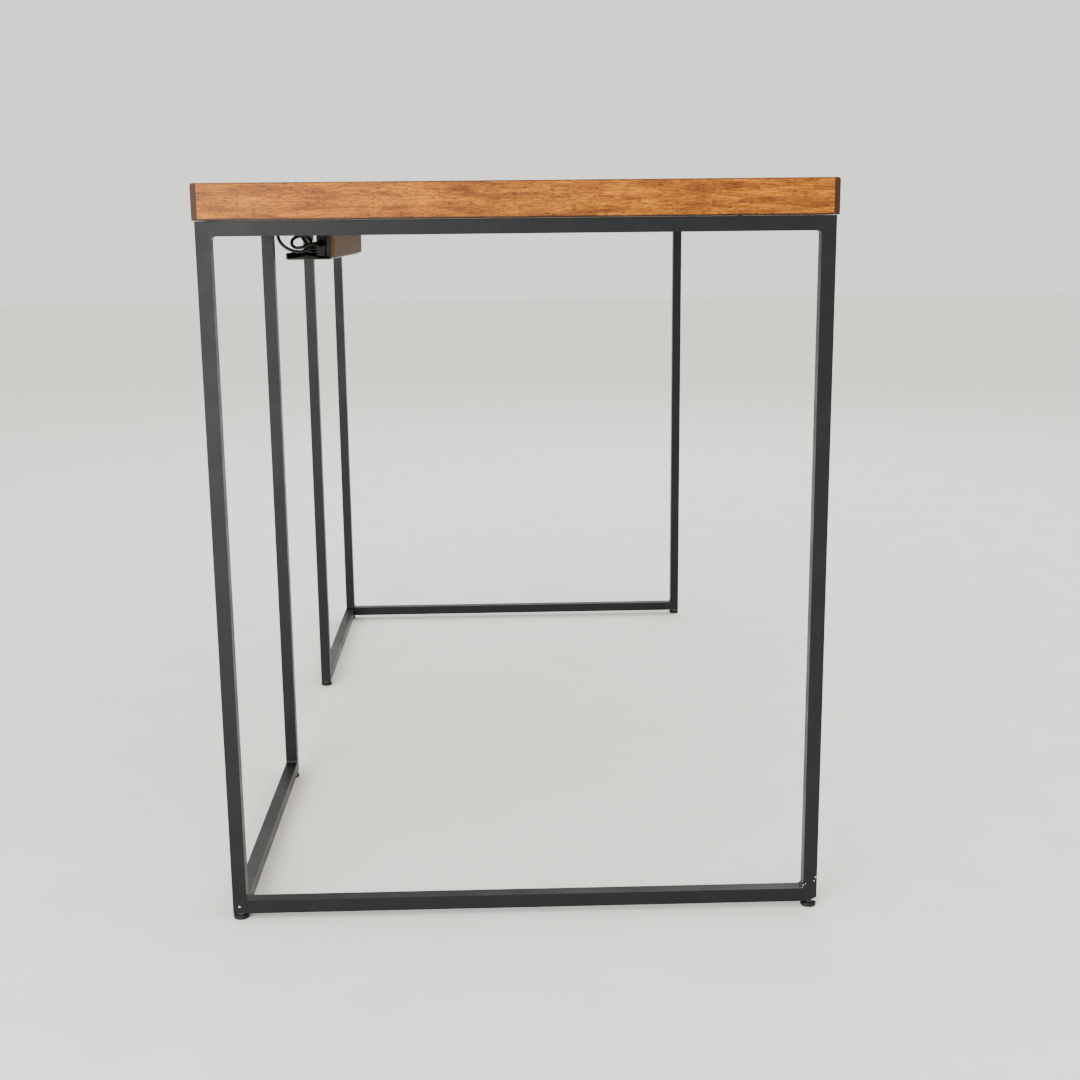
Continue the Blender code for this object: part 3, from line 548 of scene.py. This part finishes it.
def finish_piece(bm, name, material, body, replaced, bevel=None):
    """Turns a bmesh, already in place, into a smooth piece that rides on a body.

    A bevel is (its width, its segments), for the edges that carry a weight.
    """
    bmesh.ops.remove_doubles(bm, verts=bm.verts, dist=1e-6)
    bmesh.ops.recalc_face_normals(bm, faces=bm.faces)
    mesh = bpy.data.meshes.new(name)
    bm.to_mesh(mesh)
    bm.free()
    mesh.materials.append(finishes()[material])
    piece = bpy.data.objects.new(name, mesh)
    bpy.context.scene.collection.objects.link(piece)
    if bevel:
        add_bevel(piece, *bevel)
    else:
        weighted = piece.modifiers.new("even_shading", "WEIGHTED_NORMAL")
        weighted.keep_sharp = True
    mesh.shade_smooth()
    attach(piece, body)
    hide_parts(*replaced)
    return piece


def add_bevel(piece, width, segments):
    """Rounds the edges that carry a weight."""
    bevel = piece.modifiers.new("rounded_edges", "BEVEL")
    bevel.width = width
    bevel.segments = segments
    bevel.limit_method = "WEIGHT"
    bevel.harden_normals = True


def box(bm, low, high):
    """A box between two corners; returns its vertices."""
    low, high = Vector(low), Vector(high)
    size = high - low
    place = Matrix.Translation((low + high) / 2) @ Matrix.Diagonal((*size, 1.0))
    return bmesh.ops.create_cube(bm, size=1.0, matrix=place)["verts"]


def bevel_all(bm, verts, width, segments):
    """Rounds every edge between the given vertices."""
    chosen = set(verts)
    edges = [e for e in bm.edges if e.verts[0] in chosen and e.verts[1] in chosen]
    bmesh.ops.bevel(
        bm,
        geom=edges,
        offset=width,
        affect="EDGES",
        segments=segments,
        profile=0.5,
        material=-1,
    )


def turned(bm, profile, place, axis=(0, 0, 1), steps=32):
    """A closed round form: a profile of (radius, height) pairs spun about an axis."""
    turn = Vector((0, 0, 1)).rotation_difference(Vector(axis)).to_matrix().to_4x4()
    older = set(bm.verts)
    made = [bm.verts.new((radius, 0, height)) for radius, height in profile]
    edges = [bm.edges.new(pair) for pair in zip(made, made[1:])]
    bmesh.ops.spin(
        bm,
        geom=made + edges,
        cent=(0, 0, 0),
        axis=(0, 0, 1),
        dvec=(0, 0, 0),
        angle=2 * pi,
        steps=steps,
        use_merge=True,
        use_normal_flip=False,
        use_duplicate=False,
    )
    new = [vert for vert in bm.verts if vert not in older]
    bmesh.ops.transform(bm, matrix=Matrix.Translation(place) @ turn, verts=new)


# ---------------------------------------------------------------- the cord


def route_point(point):
    """A point of the route in the desk's frame."""
    x, inset, down = point
    return Vector((x * MM, REAR_FACE - inset * MM, UNDERSIDE - down * MM))


def curve_through(points, per_stretch=8):
    """Points on a smooth curve that passes every given point (a centripetal Catmull-Rom)."""
    ends = [2 * points[0] - points[1], *points, 2 * points[-1] - points[-2]]
    path = [points[0]]
    for a, b, c, d in zip(ends, ends[1:], ends[2:], ends[3:]):
        t1 = sqrt((b - a).length)
        t2 = t1 + sqrt((c - b).length)
        t3 = t2 + sqrt((d - c).length)
        for i in range(1, per_stretch + 1):
            t = t1 + (t2 - t1) * i / per_stretch
            ab = a.lerp(b, t / t1)
            bc = b.lerp(c, (t - t1) / (t2 - t1))
            cd = c.lerp(d, (t - t2) / (t3 - t2))
            abc = ab.lerp(bc, t / t2)
            bcd = bc.lerp(cd, (t - t1) / (t3 - t1))
            path.append(abc.lerp(bcd, (t - t1) / (t2 - t1)))
    return path


def eased(share):
    """A share from 0 to 1 that starts and ends gently."""
    return share * share * (3 - 2 * share)


def hank_points():
    """The turns of the hank from above, clockwise, from the rear run at its left end.

    Each turn is (its row at the start, its layer at the start, row at its end, layer at its end).
    A cord changes row or layer while it is in the left fold and the run after it.
    """
    outer, inner = HANK_INNER + HANK_PITCH, HANK_INNER
    top, mid, low = HANK_PITCH, 0.0, -HANK_PITCH
    turns = [
        (outer, top, inner, top),
        (inner, top, inner, mid),
        (inner, mid, outer, mid),
        (outer, mid, inner, low),
        (inner, low, outer, low),
    ]
    half = HANK_HALF_RUN
    points = []
    fold_steps, run_steps = 10, 4
    for row, layer, next_row, next_layer in turns:
        for i in range(run_steps):
            points.append((-half + 2 * half * i / run_steps, row, layer))
        for i in range(fold_steps):
            angle = pi / 2 - pi * i / fold_steps
            points.append((half + row * cos(angle), row * sin(angle), layer))
        for i in range(run_steps):
            share = eased(i / run_steps)
            z = layer + (next_layer - layer) * share
            y = row + (next_row - row) * share
            points.append((half - 2 * half * i / run_steps, -y, z))
        for i in range(fold_steps):
            angle = -pi / 2 - pi * i / fold_steps
            points.append((-half + next_row * cos(angle), next_row * sin(angle), next_layer))
    for i in range(run_steps + 1):
        points.append((-half + 2 * half * i / run_steps, outer, low))
    return [HANK_MIDDLE + Vector(p) for p in points]


def cord_points():
    """The whole cord, from the grip through the clips and the hank to the plug's tail."""
    lead = [route_point(p) for p in LEAD_ROUTE]
    straight = Vector((5 * MM, 0, 0))
    middle = (TAIL_START + TAIL_END) / 2
    return lead + hank_points() + [TAIL_START + straight, middle, TAIL_END - straight, TAIL_END]


def evenly_spaced(path, spacing):
    """Points along a path at about the given spacing, with both of its ends."""
    lengths = [0.0]
    for a, b in zip(path, path[1:]):
        lengths.append(lengths[-1] + (b - a).length)
    count = max(2, round(lengths[-1] / spacing))
    spaced, i = [], 0
    for k in range(count + 1):
        at = lengths[-1] * k / count
        while i < len(path) - 2 and lengths[i + 1] < at:
            i += 1
        share = (at - lengths[i]) / (lengths[i + 1] - lengths[i])
        spaced.append(path[i].lerp(path[i + 1], min(1.0, share)))
    return spaced, lengths[-1]


class DESK_OT_cord(bpy.types.Operator):
    """Lays the strip's cord: two loops at the tray's end, the clips, a tied hank and the plug"""

    bl_idname = "desk.cord"
    bl_label = "Cord"

    def execute(self, context):
        sizes = context.scene.desk_sizes
        path, total = evenly_spaced(curve_through(cord_points()), 1.6 * MM)
        curve = bpy.data.curves.new("strip_cord", "CURVE")
        curve.dimensions = "3D"
        curve.bevel_depth = sizes.cord_diameter / 2
        curve.bevel_resolution = 5
        curve.use_fill_caps = True
        spline = curve.splines.new("POLY")
        spline.points.add(len(path) - 1)
        for point, place in zip(spline.points, path):
            point.co = (*place, 1.0)
        curve.materials.append(finishes()["extruded_vinyl"])
        grip = self.make_grip(sizes.grip_ribs)
        cord = bpy.data.objects.new("strip_cord", curve)
        context.scene.collection.objects.link(cord)
        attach(cord, BODY)
        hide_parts("cord_lead", "cord_hank", "cord_tail")
        return {"FINISHED"}

    def make_grip(self, ribs):
        """The tapered, ribbed grip where the cord leaves the strip."""
        low, high = (Vector(corner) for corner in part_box("cord_grip"))
        strip_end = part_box("strip_cover")[0][0]
        reach = strip_end - low.x
        root, tip = 4.2 * MM, 2.65 * MM
        profile = [
            (0, 0.35 * MM),
            (root, 0.35 * MM),
            (root + 0.15 * MM, 0.8 * MM),
            (root, 2.2 * MM),
        ]
        start, groove = 3.2 * MM, 0.75 * MM
        pitch = (reach - start - 1.5 * MM) / ribs
        for i in range(ribs):
            at = start + i * pitch
            crest = root + (tip - root) * (at / reach) ** 0.8
            profile += [
                (crest - groove, at - 0.25 * MM),
                (crest - groove, at + pitch * 0.22),
                (crest, at + pitch * 0.34),
                (crest - 0.05 * MM, at + pitch * 0.72),
            ]
        profile += [
            (tip, reach - 0.9 * MM),
            (tip - 0.25 * MM, reach - 0.2 * MM),
            (1.9 * MM, reach),
            (0, reach),
        ]
        middle = (strip_end, (low.y + high.y) / 2, (low.z + high.z) / 2)
        bm = bmesh.new()
        turned(bm, profile, middle, (-1, 0, 0), 32)
        return finish_piece(bm, "ribbed_cord_grip", "extruded_vinyl", BODY, ["cord_grip"])


# ---------------------------------------------------------------- camera and stage


class DESK_OT_camera(bpy.types.Operator):
    """Stands the camera level with the underside of the top, at the desk's left end"""

    bl_idname = "desk.camera"
    bl_label = "Camera"

    def execute(self, context):
        yaw, pitch, roll = (radians(a) for a in (1.570, 11.981, 0.589))
        ahead = Vector((cos(yaw) * cos(pitch), -sin(yaw) * cos(pitch), -sin(pitch)))
        level = Vector((-sin(yaw), -cos(yaw), 0))
        right = level * cos(roll) + ahead.cross(level) * sin(roll)
        upward = right.cross(ahead)
        data = bpy.data.cameras.new("desk_camera")
        data.sensor_width = 36.0
        data.lens = 49.566
        data.clip_start = 0.05
        camera = bpy.data.objects.new("desk_camera", data)
        camera.matrix_world = Matrix(
            (
                (right.x, upward.x, -ahead.x, -2.0071),
                (right.y, upward.y, -ahead.y, 0.0208),
                (right.z, upward.z, -ahead.z, 0.6897),
                (0, 0, 0, 1),
            )
        )
        context.scene.collection.objects.link(camera)
        context.scene.camera = camera
        return {"FINISHED"}


class DESK_OT_stage(bpy.types.Operator):
    """Lays a plain pale floor and hangs soft lights"""

    bl_idname = "desk.stage"
    bl_label = "Stage and lights"

    def execute(self, context):
        bm = bmesh.new()
        bmesh.ops.create_grid(bm, x_segments=1, y_segments=1, size=12.0)
        mesh = bpy.data.meshes.new("studio_floor")
        bm.to_mesh(mesh)
        bm.free()
        tone = tuple(context.scene.desk_colours.floor)
        mesh.materials.append(grained("studio_paper", tone, 6.0, 0.75, 0.02, relief=0.02))
        floor = bpy.data.objects.new("studio_floor", mesh)
        context.scene.collection.objects.link(floor)

        for name, place, aim, size, power in (
            ("key_light", (-2.9, 1.5, 1.7), (0, 0, 0.45), 1.8, 90),
            ("low_light", (-2.7, 0.95, 0.45), (-0.6, 0.25, 0.35), 0.9, 22),
            ("side_light", (-1.2, -2.8, 2.4), (0, 0, 0.4), 2.0, 30),
            ("back_light", (2.6, -0.6, 2.6), (0, 0, 0.5), 2.0, 40),
        ):
            data = bpy.data.lights.new(name, "AREA")
            data.shape = "SQUARE"
            data.size = size
            data.energy = power
            lamp = bpy.data.objects.new(name, data)
            lamp.location = place
            lamp.rotation_euler = (Vector(aim) - Vector(place)).to_track_quat("-Z", "Y").to_euler()
            context.scene.collection.objects.link(lamp)

        world = bpy.data.worlds.new("studio_air")
        world.use_nodes = True
        world.node_tree.nodes["Background"].inputs["Color"].default_value = linear("F1F0EC")
        world.node_tree.nodes["Background"].inputs["Strength"].default_value = 1.55
        context.scene.world = world
        return {"FINISHED"}


# ---------------------------------------------------------------- the desk's pieces


class DESK_OT_top(bpy.types.Operator):
    """Stains the top's faces and edge strips"""

    bl_idname = "desk.top"
    bl_label = "Wooden top"

    def execute(self, context):
        for node, name in {
            "top_face_veneer": "stained_veneer_long",
            "top_back_veneer": "stained_backing_veneer",
            "top_core": "chipboard_core",
            "lipping_front": "stained_strip_long",
            "lipping_rear": "stained_strip_long",
            "lipping_left": "stained_strip_short",
            "lipping_right": "stained_strip_short",
        }.items():
            dress(node, name)
        return {"FINISHED"}


class DESK_OT_tube_frame(bpy.types.Operator):
    """Welds each side frame into one piece, with its joints ground flush, and coats it"""

    bl_idname = "desk.tube_frame"
    bl_label = "Tube frames"

    def execute(self, context):
        for side in ("left", "right"):
            legs = [f"leg_{place}_{side}" for place in ("front", "rear", "return")]
            rails = [
                f"{rail}_{side}"
                for rail in ("bottom_rail", "top_rail", "return_bottom_rail", "return_top_rail")
            ]
            posts = bmesh.new()
            for node in legs:
                box(posts, *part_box(node))
            welded = mesh_object(posts, "welded_frame_" + side)
            combine(welded, mesh_object(self.make_rails(rails), "rails"), "UNION")
            cutter, holes = self.make_holes(side, legs)
            combine(welded, mesh_object(cutter, "holes"), "DIFFERENCE")
            bm = bmesh.new()
            bm.from_mesh(welded.data)
            bmesh.ops.dissolve_limit(
                bm, angle_limit=radians(1), verts=bm.verts, edges=bm.edges, delimit=set()
            )
            bpy.data.objects.remove(welded)
            self.choose_edges(bm, holes)
            piece = finish_piece(
                bm,
                "welded_frame_" + side,
                "powder_coated_steel",
                BODY,
                legs + rails,
                bevel=(1.3 * MM, 3),
            )
        return {"FINISHED"}

    def make_rails(self, rails):
        """The rails of one frame, with fillets where they meet the legs."""
        bm = bmesh.new()
        for node in rails:
            low, high = (Vector(corner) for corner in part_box(node))
            run = 0 if node.startswith("return") else 1
            low[run] -= WELD_OVERLAP
            high[run] += WELD_OVERLAP
            box(bm, low, high)
        for node in rails:
            self.add_fillets(bm, node)
        bmesh.ops.recalc_face_normals(bm, faces=bm.faces)
        return bm

    def make_holes(self, side, legs):
        """Cutters for one frame: the legs' sunk ends and bores, and the top screws' holes.

        The list that goes with them has each hole's middle, its upper end and a radius past it.
        """
        bm, holes = bmesh.new(), []
        for node in legs:
            low, high = (Vector(corner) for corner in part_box(node))
            x, y, _ = (low + high) / 2
            sunk = low.z + 1 * MM
            wall = Vector((LEG_WALL, LEG_WALL, 0))
            box(bm, low + wall - Vector((0, 0, 1 * MM)), (*(high - wall)[:2], sunk))
            bore = [(0, 0), (LEG_BORE, 0), (LEG_BORE, LEG_BORE_DEPTH), (0, LEG_BORE_DEPTH)]
            turned(bm, bore, (x, y, sunk - 0.5 * MM), steps=24)
            holes.append((x, y, sunk + LEG_BORE_DEPTH, 6.5 * MM))
        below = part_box("top_rail_" + side)[0][2] - 1 * MM
        for leg in ("front", "rear", "return"):
            low, high = (Vector(corner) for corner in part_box(f"top_screw_{leg}_{side}"))
            x, y, _ = (low + high) / 2
            radius = (high.x - low.x) / 2 + TOP_SCREW_ACCESS
            tall = low.z + TOP_SCREW_HEAD_HEIGHT - below
            turned(bm, [(0, 0), (radius, 0), (radius, tall), (0, tall)], (x, y, below))
            holes.append((x, y, below + tall, radius + 0.2 * MM))
        bmesh.ops.recalc_face_normals(bm, faces=bm.faces)
        return bm, holes

    def choose_edges(self, bm, holes):
        """Gives a weight to the tubes' outer edges, and leaves those of the holes sharp."""
        weight = bm.edges.layers.float.new("bevel_weight_edge")
        for edge in bm.edges:
            if not edge.is_manifold or edge.calc_face_angle() < radians(50):
                continue
            x, y, z = (edge.verts[0].co + edge.verts[1].co) / 2
            if any(
                z < top + 1 * MM and (x - at_x) ** 2 + (y - at_y) ** 2 < radius**2
                for at_x, at_y, top, radius in holes
            ):
                edge.smooth = False
            else:
                edge[weight] = 1.0

    def add_fillets(self, bm, rail):
        """Fills the corners between a rail's inner face and its legs, as a ground weld does."""
        radius, steps = bpy.context.scene.desk_sizes.weld_fillet, 5
        low, high = (Vector(corner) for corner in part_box(rail))
        run, across = (0, 1) if rail.startswith("return") else (1, 0)
        level, up = (high.z, 1) if "bottom" in rail else (low.z, -1)
        for end, inward in ((low[run], 1), (high[run], -1)):
            inside = level - up * WELD_OVERLAP
            start = end - inward * WELD_OVERLAP
            outline = [(start, inside), (start, level + up * radius)]
            for i in range(steps + 1):
                angle = pi / 2 * i / steps
                along = end + inward * radius * (1 - cos(angle))
                outline.append((along, level + up * radius * (1 - sin(angle))))
            outline.append((end + inward * radius, inside))
            verts = []
            for along, height in outline:
                place = Vector((0, 0, height))
                place[run], place[across] = along, low[across]
                verts.append(bm.verts.new(place))
            grown = bmesh.ops.extrude_face_region(
                bm, geom=[bm.faces.new(verts)], use_keep_orig=True
            )["geom"]
            width = Vector((0, 0, 0))
            width[across] = high[across] - low[across]
            moved = [item for item in grown if isinstance(item, bmesh.types.BMVert)]
            bmesh.ops.translate(bm, vec=width, verts=moved)


class DESK_OT_feet(bpy.types.Operator):
    """Turns the foot pads and plates their stems"""

    bl_idname = "desk.feet"
    bl_label = "Glide feet"

    def execute(self, context):
        ring = context.scene.desk_sizes.pad_ring
        for name in FEET:
            node = "glide_pad_" + name
            low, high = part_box(node)
            middle = ((low[0] + high[0]) / 2, (low[1] + high[1]) / 2, low[2])
            radius = (high[0] - low[0]) / 2
            tall = high[2] - low[2]
            well = 2.9 * MM  # radius of the hole that the stem turns in
            profile = [
                (0, 2.1 * MM),
                (well - 0.3 * MM, 2.1 * MM),
                (well, 2.3 * MM),
                (well, tall - 0.25 * MM),
                (well + 0.25 * MM, tall),
                (radius * 0.84, tall),
                (radius * 0.93, tall - 0.25 * MM),
                (radius, tall - 0.9 * MM),
                (radius, tall * 0.60),
                (radius - ring, tall * 0.57),
                (radius - ring, tall * 0.49),
                (radius, tall * 0.46),
                (radius, 1.5 * MM),
                (radius - 0.2 * MM, 0.9 * MM),
                (radius - 0.7 * MM, 0.35 * MM),
                (radius - 1.5 * MM, 0.02 * MM),
                (radius - 2.6 * MM, 0.0),
                (radius - 3.2 * MM, 0.5 * MM),
                (0, 0.5 * MM),
            ]
            bm = bmesh.new()
            turned(bm, profile, middle, steps=48)
            pad = finish_piece(bm, "foot_pad_" + name, "moulded_nylon", "pad_" + name, [node])
            # The stems' zinc is darkened as painted shade for the shade under the legs.
            dress("glide_stem_" + name, "zinc_plate")
        return {"FINISHED"}


class DESK_OT_screws(bpy.types.Operator):
    """Makes the screws that hold the top, the tray and the strip's case"""

    bl_idname = "desk.screws"
    bl_label = "Screws"

    def execute(self, context):
        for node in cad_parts:
            if node.startswith(("top_screw", "tray_screw", "strip_screw")):
                self.make_screw(node, context.scene.desk_sizes.screw_recess)
        return {"FINISHED"}

    def make_screw(self, node, recess):
        """A pan-headed screw in the box of its node, with a thread and a cross recess."""
        low, high = (Vector(corner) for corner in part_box(node))
        middle = (low + high) / 2
        head = (high.x - low.x) / 2
        if node.startswith("strip"):
            axis, head_place, tall = Vector((0, -1, 0)), middle.copy(), high.y - low.y
            head_place.y = high.y
        else:
            axis, head_place, tall = Vector((0, 0, 1)), middle.copy(), high.z - low.z
            head_place.z = low.z
        shank, head_height = {
            "strip": (1.2 * MM, 1.5 * MM),
            "tray": (1.8 * MM, 2.2 * MM),
            "top": (2.1 * MM, TOP_SCREW_HEAD_HEIGHT),
        }[node.split("_")[0]]
        bm = bmesh.new()
        pitch = shank * 0.75
        profile = [
            (0, 0),
            (head * 0.45, 0.0),
            (head * 0.80, head_height * 0.13),
            (head * 0.96, head_height * 0.42),
            (head, head_height * 0.80),
            (head, head_height * 0.96),
            (head * 0.97, head_height),
            (shank, head_height),
        ]
        along = head_height + pitch
        while along < tall - shank - pitch:
            profile += [
                (shank * 0.78, along),
                (shank * 0.78, along + pitch * 0.3),
                (shank, along + pitch * 0.5),
                (shank, along + pitch * 0.6),
            ]
            along += pitch * 0.9
        profile += [(shank * 0.78, along), (shank * 0.7, tall - shank), (0, tall)]
        turned(bm, profile, head_place, axis, steps=24)
        piece = finish_piece(bm, "screw_" + node, "black_zinc_plate", BODY, [node])
        cut_cross(piece, head_place, axis, head * 0.62, recess * head / (4 * MM))


def cut_cross(piece, place, axis, reach, depth):
    """Cuts a tapered cross recess into a screw head."""
    bm = bmesh.new()
    turn = Vector((0, 0, 1)).rotation_difference(axis).to_matrix().to_4x4()
    for quarter in (0, 1):
        spin = Matrix.Rotation(quarter * pi / 2, 4, "Z")
        verts = box(bm, (-reach, -reach * 0.17, -0.5 * MM), (reach, reach * 0.17, depth))
        deep = [v for v in verts if v.co.z > 0]
        bmesh.ops.scale(bm, vec=(0.45, 0.7, 1), verts=deep)
        bmesh.ops.transform(bm, matrix=Matrix.Translation(place) @ turn @ spin, verts=verts)
    combine(piece, mesh_object(bm, "cross_cutter"), "DIFFERENCE")


def mesh_object(bm, name):
    """Turns a bmesh into an object that waits to be joined or cut."""
    mesh = bpy.data.meshes.new(name)
    bm.to_mesh(mesh)
    bm.free()
    made = bpy.data.objects.new(name, mesh)
    bpy.context.scene.collection.objects.link(made)
    return made


def combine(target, tool, operation):
    """Joins or cuts a target with a tool, and removes the tool."""
    joined = target.modifiers.new("combine", "BOOLEAN")
    joined.operation = operation
    joined.solver = "EXACT"
    joined.use_self = True
    joined.object = tool
    apply_modifiers(target)
    bpy.data.objects.remove(tool)


def apply_modifiers(piece):
    """Keeps a piece's mesh as its modifiers leave it."""
    depsgraph = bpy.context.evaluated_depsgraph_get()
    kept = bpy.data.meshes.new_from_object(piece.evaluated_get(depsgraph))
    piece.modifiers.clear()
    piece.data = kept


class DESK_OT_tray(bpy.types.Operator):
    """Coats the cable tray and veneers its front board"""

    bl_idname = "desk.tray"
    bl_label = "Cable tray"

    def execute(self, context):
        dress("cable_tray", "black_coated_sheet")
        dress("tray_board", "walnut_board")
        return {"FINISHED"}


class DESK_OT_strip(bpy.types.Operator):
    """Makes the power strip's cover with its outlets, and finishes the rest of it"""

    bl_idname = "desk.strip"
    bl_label = "Power strip"

    def execute(self, context):
        dress("strip_base", "moulded_abs")
        for node in ("strip_live_bar", "strip_neutral_bar"):
            dress(node, "rolled_brass")
        low, high = (Vector(corner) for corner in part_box("strip_cover"))
        bm = bmesh.new()
        verts = box(bm, low, high)
        bevel_all(bm, verts, 1.6 * MM, 4)
        cover = finish_piece(bm, "strip_cover_shell", "moulded_abs", BODY, ["strip_cover"])
        self.cut_outlets(cover, low, high, context.scene.desk_sizes.outlet_rim)
        return {"FINISHED"}

    def cut_outlets(self, cover, low, high, rim):
        """Cuts a sunk panel with two slots for each outlet, and the holes of the case screws."""
        face, middle = high.y, (low.z + high.z) / 2
        slot, slot_height, spacing = 3.6 * MM, 1.1 * MM, 6.35 * MM  # half of each
        panel, panel_height, sunk = slot + rim, 11 * MM, 0.35 * MM
        bm = bmesh.new()
        for i in range(3):
            x = low.x + 24 * MM + i * 28.5 * MM
            box(
                bm,
                (x - panel, face - sunk, middle - panel_height),
                (x + panel, face + 1 * MM, middle + panel_height),
            )
            for z in (middle - spacing, middle + spacing):
                box(
                    bm,
                    (x - slot, face - 8 * MM, z - slot_height),
                    (x + slot, face + 0.5 * MM, z + slot_height),
                )
        radius, depth = 2.9 * MM, 1.8 * MM
        hole = [(0, 0), (radius, 0), (radius, 3 * MM), (0, 3 * MM)]
        for x in (low.x + 9 * MM, high.x - 9 * MM):
            turned(bm, hole, (x, face - depth, middle), (0, 1, 0), 24)
        bmesh.ops.recalc_face_normals(bm, faces=bm.faces)
        combine(cover, mesh_object(bm, "outlet_cutter"), "DIFFERENCE")


class DESK_OT_tie_and_plug(bpy.types.Operator):
    """Finishes the tie, the plug and the clips"""

    bl_idname = "desk.tie_and_plug"
    bl_label = "Tie, plug and clips"

    def execute(self, context):
        dress("hank_tie", "natural_nylon")
        dress("plug_body", "moulded_abs")
        for side in ("front", "rear"):
            dress("plug_blade_" + side, "rolled_brass")
        for side in ("left", "right"):
            dress("cord_clip_" + side, "moulded_nylon")
        return {"FINISHED"}


class DESK_PT_panel(bpy.types.Panel):
    """Sizes, colours and the steps that make the desk"""

    bl_idname = "DESK_PT_panel"
    bl_label = "Desk"
    bl_space_type = "VIEW_3D"
    bl_region_type = "UI"
    bl_category = "Desk"

    def draw(self, context):
        layout = self.layout
        for settings in (context.scene.desk_sizes, context.scene.desk_colours):
            group = layout.box()
            for name in settings.__annotations__:
                group.prop(settings, name)
        for step in STEPS:
            layout.operator(step.bl_idname)


STEPS = (
    DESK_OT_camera,
    DESK_OT_cord,
    DESK_OT_stage,
    DESK_OT_top,
    DESK_OT_tube_frame,
    DESK_OT_feet,
    DESK_OT_screws,
    DESK_OT_tray,
    DESK_OT_strip,
    DESK_OT_tie_and_plug,
)
CLASSES = (DeskColours, DeskSizes, *STEPS, DESK_PT_panel)


def register():
    for cls in CLASSES:
        bpy.utils.register_class(cls)
    bpy.types.Scene.desk_colours = PointerProperty(type=DeskColours)
    bpy.types.Scene.desk_sizes = PointerProperty(type=DeskSizes)


def unregister():
    del bpy.types.Scene.desk_sizes
    del bpy.types.Scene.desk_colours
    for cls in reversed(CLASSES):
        bpy.utils.unregister_class(cls)


def main():
    register()
    for step in STEPS:
        run = getattr(bpy.ops.desk, step.bl_idname.removeprefix("desk."))
        if run() != {"FINISHED"}:
            raise RuntimeError(f"{step.bl_label} was not finished")


if __name__ == "__main__":
    main()
